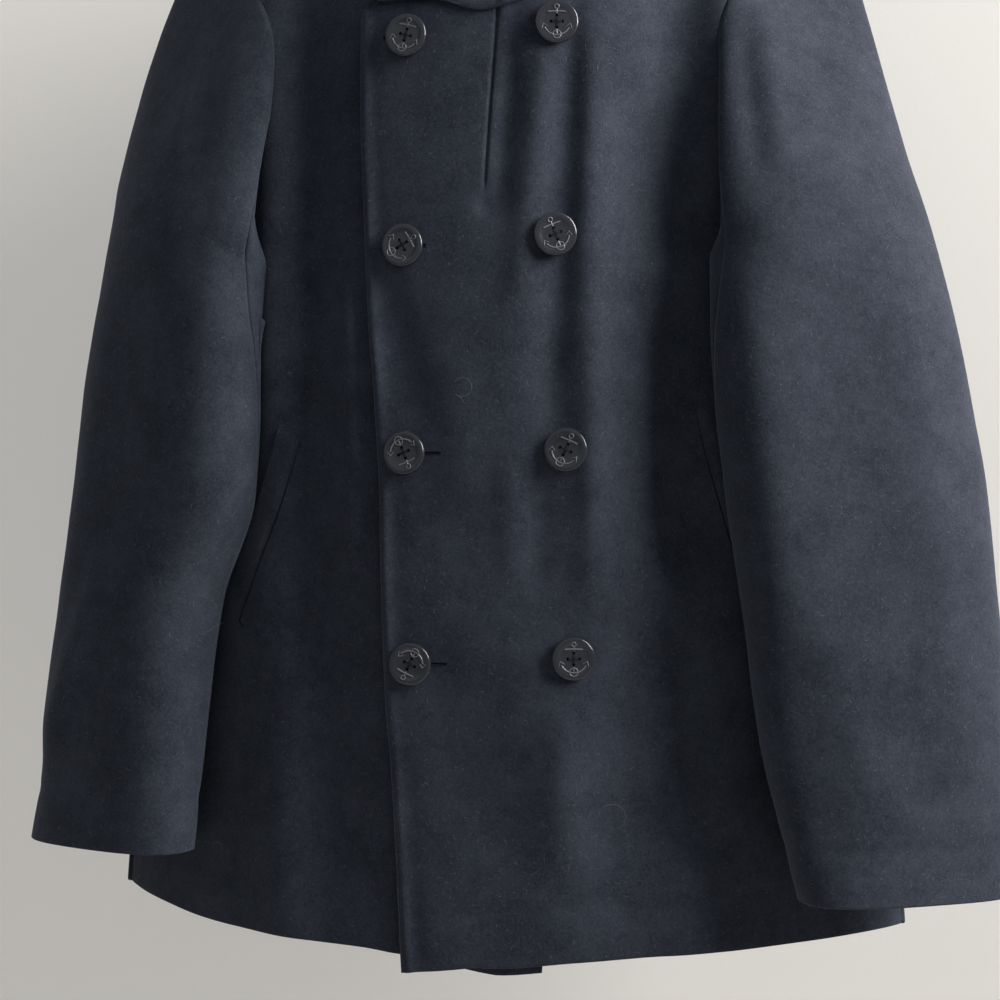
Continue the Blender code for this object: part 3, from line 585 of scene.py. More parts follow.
def nap_group():
    """Brushed wool: uneven pile and crossing stray fibres."""
    group = bpy.data.node_groups.new("wool_nap", "ShaderNodeTree")
    for name, kind in (("Vector", "Vector"), ("Fibre Size", "Float")):
        group.interface.new_socket(name, in_out="INPUT", socket_type="NodeSocket" + kind)
    for name in ("Pile", "Strays", "Height"):
        group.interface.new_socket(name, in_out="OUTPUT", socket_type="NodeSocketFloat")
    given = group.nodes.new("NodeGroupInput").outputs
    end = group.nodes.new("NodeGroupOutput")

    def maths(kind, a, b):
        made = node(group, "ShaderNodeMath", operation=kind)
        feed(group, made.inputs[0], a)
        feed(group, made.inputs[1], b)
        return made.outputs[0]

    def noise(scale, detail, rough, vector=given["Vector"]):
        made = node(group, "ShaderNodeTexNoise", scale=scale, detail=detail, roughness=rough, vector=vector)
        return made.outputs["Fac"]

    clouds = noise(26, 4, 0.62)
    patches = noise(110, 4, 0.68)
    grain = noise(given["Fibre Size"], 5, 0.72)
    strays = 0.0
    for turn, squeeze, seed in ((0.5, 11, 0.0), (1.45, 13, 3.7), (2.35, 12, 8.1), (2.95, 10, 5.3)):
        lay = node(group, "ShaderNodeMapping", vector_type="TEXTURE", vector=given["Vector"])
        lay.inputs["Rotation"].default_value = (0.35, turn, 0.2)
        lay.inputs["Scale"].default_value = (1, 1, 1 / squeeze)
        lay.inputs["Location"].default_value = (seed, seed, seed)
        lines = noise(130, 2, 0.55, lay.outputs["Vector"])
        cut = node(group, "ShaderNodeMapRange", from_min=0.680, from_max=0.80, value=lines)
        strays = maths("MAXIMUM", strays, cut.outputs["Result"])
    pile = maths("ADD", maths("MULTIPLY", clouds, 0.45), maths("MULTIPLY", patches, 0.30))
    pile = maths("ADD", pile, maths("MULTIPLY", grain, 0.85))
    spread = node(group, "ShaderNodeMapRange", from_min=0.64, from_max=1.00, value=pile)
    height = maths("ADD", maths("MULTIPLY", grain, 0.6), maths("MULTIPLY", patches, 0.5))
    height = maths("ADD", height, maths("MULTIPLY", strays, 0.25))
    feed(group, end.inputs["Pile"], spread.outputs["Result"])
    feed(group, end.inputs["Strays"], strays)
    feed(group, end.inputs["Height"], height)
    return group


def colour_mix(tree, share, first, second):
    """The first colour going over to the second one as the share rises."""
    mix = node(tree, "ShaderNodeMix", data_type="RGBA", factor=share)
    for socket, colour in zip([s for s in mix.inputs if s.type == "RGBA"], (first, second)):
        feed(tree, socket, colour)
    return next(s for s in mix.outputs if s.type == "RGBA")


def melton_material():
    """Dark navy melton: matt, with a nap that catches the light at a low angle."""
    looks = {
        "Roughness": 0.92,
        "Specular IOR Level": 0.18,
        "Sheen Weight": 0.16,
        "Sheen Roughness": 0.45,
        "Sheen Tint": (0.62, 0.70, 0.88, 1),
    }
    material, tree, shader = new_material("navy_melton", looks)
    nap = tree.nodes.new("ShaderNodeGroup")
    nap.node_tree = nap_group()
    nap.inputs["Fibre Size"].default_value = 640
    feed(tree, nap.inputs["Vector"], node(tree, "ShaderNodeTexCoord").outputs["Object"])
    strays = node(tree, "ShaderNodeMath", operation="MULTIPLY")
    feed(tree, strays.inputs[0], nap.outputs["Strays"])
    feed(tree, strays.inputs[1], 0.30)
    ground = colour_mix(tree, nap.outputs["Pile"], NAVY, NAVY_LIT)
    feed(tree, shader.inputs["Base Color"], colour_mix(tree, strays.outputs[0], ground, FIBRE_GREY))
    bump = node(tree, "ShaderNodeBump", strength=0.55, distance=0.0006, height=nap.outputs["Height"])
    feed(tree, shader.inputs["Normal"], bump.outputs["Normal"])
    return material


melton = melton_material()
NORTH = np.array([0.0, -1.0, 0.0])  # the way the fronts face
SOUTH = np.array([0.0, 1.0, 0.0])


def top_edge(z):
    return read(TOP_EDGE, "x", z)


def dart_line(z):
    return read(DART, "x", z)


def back_neck(x):
    inside = np.clip(1 - (np.abs(x) / NECK_HALF) ** 2, 0, 1)
    return NECK_Z - BACK_NECK_DROP * inside + 0 * x


def lower_corner(grid, inward, drop):
    """The hem of a front hangs lower towards its inner corner."""
    low = np.linspace(0, 1, LOW_ROWS)[:-1, None]
    grid[: LOW_ROWS - 1, :, 2] -= drop * np.clip(inward / 0.05, 0, 1) * (1 - low) ** 3


def under_form(grid):
    """The under front hangs lower at its corner, and lies flat and further back where it is covered."""
    lower_corner(grid, grid[0, :, 0] + 0.045, UNDER_CORNER)
    x, z = grid[..., 0], grid[..., 2]
    covered = smooth_step((x - top_edge(z) + 0.012) / 0.024)
    folds = fold_height(FOLDS, x, z) + fold_height(UNDER_CREASES, x, z)
    grid[..., 1] += covered * (folds + UNDER_BACK)
    return grid


def top_form(grid):
    """The top front stands off the under one, most where the lapel rolls, and takes its dart and edge."""
    lower_corner(grid, -0.010 - grid[0, :, 0], TOP_CORNER)
    x, z = grid[..., 0], grid[..., 2]
    reach = smooth_step((0.115 - x) / 0.055)
    roll = np.clip((z + 0.275) / 0.05, 0, 1) * np.clip((NECK_Z - z) / 0.05, 0, 1)
    grid[..., 1] -= reach * (LAP + LAPEL_RISE * roll)
    in_dart = smooth_step((z - DART_END_Z) / 0.012) * smooth_step((DART_TOP_Z - z) / 0.02)
    off = x - dart_line(z)
    grid[..., 1] += in_dart * (DART_DEPTH * bell(off, DART_WIDTH) - DART_RIDGE * bell(off - 0.006, 0.0045))
    grid[..., 1] += DIMPLE * bell(np.hypot(off / 0.006, (z - DART_END_Z + 0.006) / 0.009), 1)
    from_edge = x - top_edge(z)
    below_break = smooth_step((-0.205 - z) / 0.02)
    roll = EDGE_ROLL * bell(from_edge - EDGE_ROLL_AT, EDGE_ROLL_WIDTH)
    roll -= 0.0004 * bell(from_edge - 0.012, 0.004)
    wander = 0.8 + 0.35 * np.sin(47 * z + 0.6) * np.sin(19 * z + 2.0)
    grid[..., 1] -= below_break * wander * roll
    return grid


def body_normals(grid, toward, side, centre_seam):
    """Normals of a body panel, turned so that it is cut square at its seams."""
    normals = grid_normals(grid, toward)
    sideways = np.array([float(side), 0.0, 0.0])
    normals[:LOW_ROWS, -1] = sideways
    normals[-1] = unit((normals[-1] + (0, 0, 0.2)) * (1, 0, 1))
    if centre_seam:
        normals[:, 0] = unit(normals[:, 0] * (0, 1, 1))
        normals[-1, 0] = toward
    return normals


def hem_sink(grid, sign):
    """The line of the turned hem, where the cloth is caught down inside."""
    up = grid[..., 2] - grid[0, :, 2]
    grid[..., 1] -= sign * HEM_SINK * bell(up - HEM_FOLD, 0.005)
    grid[..., 1] += sign * 0.0005 * smooth_step((0.034 - up) / 0.02)
    return grid


front_under = hem_sink(under_form(panel(lambda z: read(UNDER_EDGE, "x", z), -1, -1, UNDER_CREASES, 110)), -1)
front_top = hem_sink(top_form(panel(top_edge, 1, -1, TOP_CREASES, 130, places=(top_edge, dart_line))), -1)
back_minus = hem_sink(panel(lambda z: -CENTRE_GAP / 2 + 0 * z, -1, 1, BACK_CREASES, 80, back_neck), 1)
back_plus = hem_sink(panel(lambda z: CENTRE_GAP / 2 + 0 * z, 1, 1, BACK_CREASES, 80, back_neck), 1)

for label, grid, toward, side, centre in (
    ("front_left", front_top, NORTH, 1, False),
    ("front_right", front_under, NORTH, -1, False),
    ("back_left", back_plus, SOUTH, 1, True),
    ("back_right", back_minus, SOUTH, -1, True),
):
    sewn = ("right", "last", "left") if centre else ("right", "last")
    normals = body_normals(grid, toward, side, centre)
    piece = cloth_shell(label + "_cloth", grid, toward, normals=normals, seams=sewn)
    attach(piece, "root")
    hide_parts(label)
    front = label.startswith("front")


# ------------------------------------------------------------------ welts of the slanted pockets
# A welt is a doubled strip of the same cloth, sewn along its inner edge over the pocket's mouth,
# with its ends turned in and tacked down.
WELT_MINUS = mm_table(
    "row in_x in_z out_x out_z",
    (0, -131, -508.5, -147, -497),
    (1, -139, -533, -155.5, -523.5),
    (2, -148.5, -562, -166, -554),
    (3, -163, -596, -181.5, -589),
    (4, -180, -637, -199, -630),
)
WELT_PLUS = mm_table(
    "row in_x in_z out_x out_z",
    (0, 135, -487, 152, -478),
    (1, 141, -516, 159, -508),
    (2, 150, -548, 168, -540),
    (3, 160, -583, 178, -575),
    (4, 172, -620, 190, -612),
)
WELT_LIFT = 0.0010  # the rest of its thickness is let into the mouth


def surface_tree(*grids):
    """A search tree over one or more grids of points."""
    verts = []
    quads = []
    for grid in grids:
        quads += grid_quads(*grid.shape[:2], len(verts)).tolist()
        verts += grid.reshape(-1, 3).tolist()
    return BVHTree.FromPolygons(verts, quads)


def front_hit(surface, x, z):
    """Where a line from the front meets the cloth at (x, z), and the cloth's normal there."""
    point, normal, _, _ = surface.ray_cast(Vector((x, -1.0, z)), Vector((0, 1, 0)))
    if point is None:
        point, normal, _, _ = surface.find_nearest(Vector((x, -0.08, z)))
    return point, -normal if normal.y > 0 else normal


def point_in(tab, part, row, axes="xyz"):
    """The point that a table gives for a part at a row."""
    return np.array([read(tab, f"{part}_{axis}", row) for axis in axes])


def laid_on(surface, tab, first, second, across, rows, shape):
    """A grid laid on a panel between two edges; shape gives the lift at each share along and across."""
    grid = []
    for key in np.linspace(tab["row"][0], tab["row"][-1], rows):
        a, b = (point_in(tab, part, key, "xz") for part in (first, second))
        line = []
        for share in np.linspace(0, 1, across):
            x, z = a + (b - a) * share
            point, normal = front_hit(surface, x, z)
            out = shape((key - tab["row"][0]) / (tab["row"][-1] - tab["row"][0]), share)
            line.append((x, point.y - out / max(0.5, abs(normal.y)), z))
        grid.append(line)
    return np.array(grid)


def welt_shape(along, share):
    """Level with the front along its sewn edge and at both ends, and standing off along the mouth."""
    ends = smooth_step(min(along, 1 - along) / 0.10)
    sewn = smooth_step((share - 0.02) / 0.30)
    return -0.0006 + ends * (0.0008 + (WELT_LIFT + 0.0003 * math.sin(21 * along)) * sewn)


top_surface = surface_tree(front_top)
under_surface = surface_tree(front_under)
welt_lines = []
for label, surface, tab, carrier in (
    ("welt_right", under_surface, WELT_MINUS, "front_right"),
    ("welt_left", top_surface, WELT_PLUS, "front_left"),
):
    grid = laid_on(surface, tab, "in", "out", 16, 80, welt_shape)
    piece = cloth_shell(label + "_cloth", grid, NORTH)
    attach(piece, "root")
    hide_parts(label)
    welt_lines.append((label, surface, tab))


# ------------------------------------------------------------------ lapels
# Each lapel is the front's own edge with its facing, turned back along the roll line and pressed.
LAPEL_TOP = mm_table(
    "row roll_x roll_z out_x out_z",
    (0, -79, -217, -74, -220),
    (1, -43, -194, -34, -222.2),
    (2, -6, -171, -3, -230),
    (3, 28, -150, 46, -215),
    (4, 52, -133, 88, -198),
    (5, 66.5, -122.5, 124, -172),
)
LAPEL_UNDER = mm_table(
    "row roll_x roll_z out_x out_z",
    (0, -8, -168, -62, -202),
    (1, -24, -156, -78, -199),
    (2, -42, -142.5, -95, -192),
    (3, -56, -131, -110, -183),
    (4, -66.5, -122.5, -124, -172),
)


def lapel_shape(base):
    def lift(along, share):
        """Full along the roll, hollow behind it, and thick again at the pressed edge."""
        roll = 0.0022 * bell(share, 0.16)
        edge = 0.0009 * bell(share - 0.93, 0.06)
        return WELT_LIFT + base + roll + edge + 0.0016 * math.sin(math.pi * share) * (1 - 0.4 * along)

    return lift


for label, surface, tab, base, carrier in (
    ("lapel_left", top_surface, LAPEL_TOP, 0.0012, "front_left"),
    ("lapel_right", under_surface, LAPEL_UNDER, 0.0009, "front_right"),
):
    grid = laid_on(surface, tab, "roll", "out", 36, 110, lapel_shape(base))
    piece = cloth_shell(label + "_cloth", grid, NORTH)
    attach(piece, "root")
    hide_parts(label)
    left = label.endswith("left")


# ------------------------------------------------------------------ collar
# Stand and fall in one piece: it is sewn to the neck edge, rises as a stand, folds over at the top
# and falls outside, over the shoulder seams, with a felt-stiffened under collar.
COLLAR = mm_table(
    "row seam_x seam_y seam_z fold_x fold_y fold_z edge_x edge_y edge_z",
    (0, 0, 38.8, -121.4, 0, 50, -81, 0, 70, -150),
    (1, 30, 35.2, -117.4, 31, 47, -80, 42, 69, -149),
    (2, 56, 25.2, -108.4, 58, 34, -78, 88, 59, -141),
    (3, 70, 14, -102.2, 75, 15, -76, 124, 30, -116.5),
    (4, 74.8, -4, -98.4, 81, -10, -77, 133, -13, -110.5),
    (5, 68, -27.5, -106, 78, -36, -83, 131, -54, -124),
    (6, 61.2, -42, -115, 70, -56, -93, 119, -80, -148),
)
COLLAR_STATIONS = 60
COLLAR_ACROSS = 46


def collar_profile(row, flip):
    """The stand, the fold and the fall at one station, from the neck seam to the outer edge."""
    seam, fold, edge = (point_in(COLLAR, part, row) for part in ("seam", "fold", "edge"))
    out = unit((edge - fold) * (1, 1, 0))
    crest = fold + out * 0.0045 + np.array([0, 0, 0.0035])
    far_side = fold + out * 0.0100 + np.array([0, 0, -0.0020])
    bend = far_side + (edge - far_side) * 0.30 + out * 0.0035
    low = far_side + (edge - far_side) * 0.66 + out * 0.0030
    points = np.array([seam, seam + (fold - seam) * 0.55, fold, crest, far_side, bend, low, edge])
    points[:, 0] *= flip
    return through(points, COLLAR_ACROSS)[0]


stations = np.linspace(6, 0, COLLAR_STATIONS)
rows = [collar_profile(s, -1) for s in stations] + [collar_profile(s, 1) for s in stations[-2::-1]]
collar_grid = np.array(rows)
for _ in range(3):
    inner = collar_grid[:, 1:-1]
    collar_grid[:, 1:-1] = inner * 0.5 + (collar_grid[:, 2:] + collar_grid[:, :-2]) * 0.25
falling = np.broadcast_to(collar_grid[:, -14:-13] - collar_grid[:, 5:6], collar_grid.shape)
outside = np.where(np.arange(COLLAR_ACROSS)[None, :, None] >= COLLAR_ACROSS // 3, falling, 0 * falling)
collar_skin = grid_normals(collar_grid, outside)
piece = cloth_shell("collar_cloth", collar_grid, None, normals=collar_skin)
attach(piece, "root")
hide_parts("collar")


# ------------------------------------------------------------------ sleeves
# Two-piece sleeves: a top sleeve outside and an under sleeve inside, seamed in front and behind,
# set into the armhole with the head eased in. They hang flat, just in front of the body.
SLEEVE_MINUS = mm_table(
    "row out_x out_y out_z in_x in_y in_z half",
    (0, 276, -8, -342, 160, -92, -388, 41),
    (1, 284.9, -16, -400, 162.5, -94, -430, 38),
    (2, 296.4, -20, -468, 164, -94, -482, 36),
    (3, 304.4, -26, -548, 169, -92, -552, 36),
    (4, 310.9, -30, -622, 194.5, -86, -622, 37),
    (5, 321.2, -32, -697, 203.5, -86, -697, 35),
    (6, 325.4, -32, -741, 208.5, -86, -744, 33),
    (7, 334.9, -32, -794, 213, -86, -795, 30),
)
SLEEVE_PLUS = mm_table(
    "row out_x out_y out_z in_x in_y in_z half",
    (0, 281.4, -10, -342, 150, -96, -388, 42),
    (1, 297.4, -20, -400, 150, -104, -430, 40),
    (2, 311.9, -26, -468, 153, -106, -482, 39),
    (3, 325.6, -32, -550, 161, -104, -555, 39),
    (4, 333.4, -36, -632, 171.5, -100, -632, 39),
    (5, 339.4, -36, -708, 181, -98, -710, 37),
    (6, 343.4, -36, -765, 194, -96, -766, 34),
    (7, 345.4, -36, -815, 207, -96, -815.5, 31),
)
WARP = table(
    "armhole first lower",
    (0, 0, 0),
    (60, 80, 82),
    (115, 169, 200),
    (131, 183, 208),
    (180, 325, 230),
    (230, 340, 257),
    (300, 349, 305),
    (360, 360, 360),
)
SWELL = mm_table(
    "angle spread minus plus fore up",
    (0, 50, 12, 6, 0, 4),
    (112, 44, -3, -4, 8, 0),
    (205, 40, 15, 12, 0, 3),
)
# Folds of each sleeve as seen from the front, and those of both from behind.
FOLDS_MINUS = fold_table(
    (-209, -225, -222, -325, 7, 2.1),
    (-270, -600, -323, -730, 10, 3.9),
    (-263, -640, -317, -760, 14, -3.1),
    (-187, -380, -197, -560, 14, 1.2),
    (-256, -420, -273, -600, 22, -2.9),
    (-229, -620, -244, -780, 18, 1),
    (-176, -230, -182, -380, 12, 0.8),
    (-201, -200, -204, -330, 12, -1.8),
)
FOLDS_PLUS = fold_table(
    (178, -230, 192, -330, 9, 2.6),
    (168, -230, 180, -340, 8, -2.3),
    (243, -700, 271, -770, 10, 2.1),
    (254, -690, 284, -750, 12, -2.1),
    (173, -420, 193, -640, 14, 2.6),
    (218, -400, 243, -640, 24, -3.1),
    (276, -420, 301, -680, 18, 2.3),
    (207, -650, 222, -790, 16, -2.1),
)
FOLDS_BEHIND = fold_table(
    (250, -330, 270, -520, 16, 2.8),
    (230, -400, 245, -560, 12, -2.2),
    (290, -520, 255, -600, 12, 2.6),
    (275, -640, 285, -780, 16, -2),
    (305, -600, 315, -760, 12, 1.8),
)
STATIONS = 22 * NOTCH_STEPS
FRONT_SEAM = 7 * NOTCH_STEPS
BACK_SEAM = 18 * NOTCH_STEPS
HEAD_RINGS = 34
ARM_RINGS = 150
ARM_ROWS = 7
ANGLES = np.linspace(0, 360, STATIONS + 1)[:-1]
CUFF_FOLD = 0.036  # depth of the turned cuff
SLEEVE_ROOM = 0.0034  # kept free between the sleeve and the front behind it
bodies = surface_tree(front_under, front_top)


def armhole_loop(front, back, side):
    """The armhole on the panels' edges, from the shoulder down the front and up the back."""
    low = LOW_ROWS - 1
    edge = np.concatenate([front[low:, -1][::-1], back[low + 1 : -1, -1]])
    skins = [grid_normals(front, NORTH), grid_normals(back, SOUTH)]
    skin = np.concatenate([skins[0][low:, -1][::-1], skins[1][low + 1 : -1, -1]])
    along = np.roll(edge, -1, axis=0) - np.roll(edge, 1, axis=0)
    away = unit(np.cross(skin, along))
    return edge, -away if away[:, 0].sum() * side < 0 else away, skin


def sleeve_oval(tab, side, row):
    """One section of a sleeve, as a flattened oval between its outer and its inner end."""
    outer, inner = (point_in(tab, end, row) * (side, 1, 1) for end in ("out", "in"))
    axis = (outer - inner) / 2
    d = unit(axis)
    fore = unit(NORTH - d * NORTH.dot(d))
    lower = min(1.0, row / 3)
    turn = np.radians(read(WARP, "first", ANGLES) * (1 - lower) + read(WARP, "lower", ANGLES) * lower)
    square_off = 0.90 - 0.16 * lower
    c = np.sign(np.cos(turn)) * np.abs(np.cos(turn)) ** square_off
    s = np.sign(np.sin(turn)) * np.abs(np.sin(turn)) ** square_off
    return (outer + inner) / 2 + c[:, None] * axis + s[:, None] * fore * read(tab, "half", row)


def swell(side):
    """How far each station of the sleeve head stands off a straight line down to the first section."""
    total = np.zeros((STATIONS, 3))
    for angle, spread, minus, plus, fore, up in rows_of(SWELL):
        share = bell((ANGLES - angle + 180) % 360 - 180, spread)
        total += share[:, None] * np.array([side * (plus if side > 0 else minus), -fore, up])
    return total


def soft_least(a, b, blend):
    """The lesser of two values, rounded where they meet."""
    h = np.clip(0.5 + 0.5 * (b - a) / blend, 0, 1)
    return b + (a - b) * h - blend * h * (1 - h)


def sleeve_rings(tab, side, front, back, folds, early, fade):
    """The sleeve's rings from its armhole to its cuff, kept in front of the body, with their folds."""
    edge, away, skin = armhole_loop(front, back, side)
    loop = edge + away * SEAM
    first = sleeve_oval(tab, side, 0)
    low = np.clip((75 - np.abs(ANGLES - 185)) / 30, 0, 1)[:, None]
    rings = [loop]
    rooms = [0.0]
    for head in np.linspace(0, 1, HEAD_RINGS)[1:-1]:
        start = head / 0.10 * math.exp(1 - head / 0.10)
        ring = loop + (first - loop) * head + swell(side) * math.sin(math.pi * head**early) ** fade
        rings.append(ring + (away * 0.005 + skin * 0.004) * low * start)
        rooms.append(0.0008 + 0.0026 * min(1.0, head / 0.36))
    for row in np.linspace(0, ARM_ROWS, ARM_RINGS):
        rings.append(sleeve_oval(tab, side, row))
        rooms.append(SLEEVE_ROOM)
    rings = np.array(rings)
    for _ in range(3):
        rings[1:-1] = rings[1:-1] * 0.5 + (rings[2:] + rings[:-2]) * 0.25
    for ring, room in zip(rings[1:], rooms[1:]):
        for point in ring:
            hit, _, _, _ = bodies.ray_cast(Vector((point[0], -1.0, point[2])), Vector((0, 1, 0)))
            if hit is not None:
                point[1] = soft_least(point[1], hit.y - room, 0.0040)
    normals = ring_normals(rings)
    x, z = rings[..., 0], rings[..., 2]
    soft = smooth_step(np.arange(len(rings)) / 8)[:, None]
    ahead_share = np.clip(-normals[..., 1], 0, 1) ** 0.7
    behind_share = np.clip(normals[..., 1], 0, 1) ** 0.7
    lift = fold_height(folds, x, z) * ahead_share + fold_height(FOLDS_BEHIND, side * x, z) * behind_share
    lift += cockle(x, rings[..., 1], z)
    up = z - z[-1]
    lift += 0.0005 * smooth_step((0.032 - up) / 0.02) - 0.0006 * bell(up - CUFF_FOLD, 0.005)
    rings += normals * (lift * soft)[..., None]
    return rings, away


def ring_normals(rings):
    closed = np.concatenate([rings[:, -1:], rings, rings[:, :1]], axis=1)
    return grid_normals(closed, closed - closed.mean(axis=1, keepdims=True))[:, 1:-1]


def sleeve_piece(name, rings, away, first, last):
    """The part of a sleeve between two seams."""
    cols = [k % STATIONS for k in range(first, last + 1)]
    grid = rings[:, cols].copy()
    normals = ring_normals(rings)
    lean = np.clip((normals[0] * away).sum(axis=1, keepdims=True), 0, None)
    normals[0] = unit(normals[0] - away * lean)
    normals = normals[:, cols]
    for edge, nxt in ((0, 1), (-1, -2)):
        grid[:, edge] += unit(grid[:, nxt] - grid[:, edge]) * SEAM / 6
    return cloth_shell(name, grid, None, normals=normals, seams=("first", "left", "right"))


sleeve_grids = []
for label, tab, side, front, back, folds, early, fade in (
    ("right", SLEEVE_MINUS, -1, front_under, back_minus, FOLDS_MINUS, 1.0, 0.6),
    ("left", SLEEVE_PLUS, 1, front_top, back_plus, FOLDS_PLUS, 0.62, 1.2),
):
    rings, away = sleeve_rings(tab, side, front, back, folds, early, fade)
    sleeve_grids.append(rings)
    for part, first, last, flat, area in (
        ("top_sleeve_", BACK_SEAM - STATIONS, FRONT_SEAM, (0.200, 0.700), 0.105),
        ("under_sleeve_", FRONT_SEAM, BACK_SEAM, (0.170, 0.560), 0.070),
    ):
        piece = sleeve_piece(part + label + "_cloth", rings, away, first, last)
        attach(piece, "root")
        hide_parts(part + label)


# ------------------------------------------------------------------ buttons
# Black plastic, 45 ligne across: a rounded edge, a shallow dish, an anchor in low relief painted pale as a
# highlight, four holes and a cross of navy thread. Each was sewn on turned its own way.
BUTTON_D = 0.0286
BUTTON_T = 0.0048
BUTTON_HOLE_D = 0.0022
BUTTON_HOLE_OFF = 0.0037
BUTTONS = mm_table(
    "number x z turn",
    (1, -53.4, -244.3, 16),
    (2, -54.8, -384.4, 60),
    (3, -53.4, -521.9, 157),
    (4, -50.7, -661.4, 206),
    (5, 46.3, -239.3, 0),
    (6, 45, -379.1, -22),
    (7, 54.2, -520.3, 24),
    (8, 57.4, -656.8, 0),
)
RELIEF = 0.00038  # radius of the anchor's raised lines
THREAD_RADIUS = 0.00015
FACE = table(
    "share height",
    (0.00, 0.835),
    (0.45, 0.840),
    (0.56, 0.855),
    (0.64, 0.890),
    (0.72, 0.950),
    (0.78, 0.985),
    (0.83, 1.000),
    (0.93, 1.000),
)
FACE_Z = BUTTON_T * FACE["height"][0]


def plastic_material(name, colour, smoothest, roughest):
    looks = {"Base Color": colour, "Specular IOR Level": 0.62, "Coat Weight": 0.25, "Coat Roughness": 0.16}
    material, tree, shader = new_material(name, looks)
    cloud = textured(tree, shader, 0.12, 0.0002, scale=160, detail=4.0)
    wear = node(tree, "ShaderNodeMapRange", from_min=0.35, from_max=0.70, to_min=smoothest, to_max=roughest)
    feed(tree, wear.inputs["Value"], cloud)
    feed(tree, shader.inputs["Roughness"], wear.outputs["Result"])
    return material


def thread_material(name, colour):
    looks = {"Base Color": colour, "Roughness": 0.8, "Specular IOR Level": 0.1}
    material, tree, shader = new_material(name, looks)
    textured(tree, shader, 0.5, 0.0001, scale=3500, detail=2.0)
    return material


def tube_faces(rings, sides, closed=False):
    """The faces round a tube; in a closed one, the last ring joins the first."""
    faces = []
    for i in range(rings if closed else rings - 1):
        j = (i + 1) % rings
        for k in range(sides):
            n = (k + 1) % sides
            faces.append((i * sides + k, i * sides + n, j * sides + n, j * sides + k))
    return faces


def tube_ends(rings, sides):
    return [tuple(range(sides))[::-1], tuple((rings - 1) * sides + k for k in range(sides))]


def lathe(profile, segments):
    """A closed turned shape from (radius, z) points that start and end on the axis."""
    verts = []
    turn = np.linspace(0, 2 * math.pi, segments + 1)[:-1]
    for radius, z in profile[1:-1]:
        verts += [(radius * math.cos(a), radius * math.sin(a), z) for a in turn]
    rings = len(profile) - 2
    faces = tube_faces(rings, segments)
    for r, z in ((0, profile[0][1]), (rings - 1, profile[-1][1])):
        verts.append((0, 0, z))
        for k in range(segments):
            faces.append((r * segments + k, r * segments + (k + 1) % segments, len(verts) - 1))
    return verts, faces


def rope(path, radius, sides=8, closed=False):
    """A round line along a path of points, with flat ends; the radius may be a list."""
    path = np.asarray(path, float)
    count = len(path)
    radii = np.broadcast_to(radius, count)
    verts = []
    for i in range(count):
        nxt = path[(i + 1) % count] if closed else path[min(i + 1, count - 1)]
        last = path[i - 1] if closed or i > 0 else path[0]
        d = unit(nxt - last)
        u = unit(np.cross(d, (0.13, 0.21, 0.97) if abs(d[2]) < 0.9 else (1.0, 0.2, 0.1)))
        v = np.cross(d, u)
        for k in range(sides):
            a = 2 * math.pi * k / sides
            verts.append(tuple(path[i] + (u * math.cos(a) + v * math.sin(a)) * radii[i]))
    return verts, tube_faces(count, sides, closed) + ([] if closed else tube_ends(count, sides))


def arc(x, y, radius, start, end, steps):
    turn = np.radians(np.linspace(start, end, steps))
    return np.stack([x + radius * np.cos(turn), y + radius * np.sin(turn), 0 * turn], 1)


def anchor_lines():
    """A plain anchor, lying on the face: ring, stock, shank, arms with flukes, and a loop of rope."""
    lines = [
        (arc(0, 9.7, 1.45, 0, 360, 17)[:-1], 0.9, True),
        ([(k * 1.5, 6.6 - 0.02 * k * k, 0) for k in range(-4, 5)], 1.4, False),
        ([(0, 8.2, 0), (0, 7.0, 0), (0, 5.4, 0)], 1.2, False),
        ([(0, -5.2, 0), (0, -6.6, 0), (0, -8.2, 0)], 1.2, False),
        (arc(0, -0.2, 8.9, 206, 334, 25), 1.3, False),
        (arc(0, -8.6, 2.7, 0, 360, 25)[:-1], 1.0, True),
    ]
    for side in (-1, 1):
        fluke = [(side * 9.9, -4.9, 0), (side * 8.9, -1.6, 0), (side * 5.9, -3.4, 0)]
        lines.append((fluke, (0.5, 1.3, 0.5), False))
    laid = []
    for path, thickness, closed in lines:
        path = np.array(path, float) * 0.001  # drawn in millimetres
        share = np.hypot(path[:, 0], path[:, 1]) / (BUTTON_D / 2)
        path[:, 2] = BUTTON_T * read(FACE, "height", share) + 0.00008
        laid.append((path, RELIEF * np.array(thickness), closed))
    return laid


def joined(parts):
    """One vertex list and one face list out of several."""
    verts = []
    faces = []
    for part_verts, part_faces in parts:
        start = len(verts)
        verts += [tuple(v) for v in part_verts]
        faces += [tuple(i + start for i in f) for f in part_faces]
    return verts, faces


def finished_mesh(obj):
    """The object's mesh with its modifiers applied; the object itself is removed."""
    bpy.context.view_layer.update()
    mesh = bpy.data.meshes.new_from_object(obj.evaluated_get(bpy.context.evaluated_depsgraph_get()))
    bpy.data.objects.remove(obj, do_unlink=True)
    return mesh


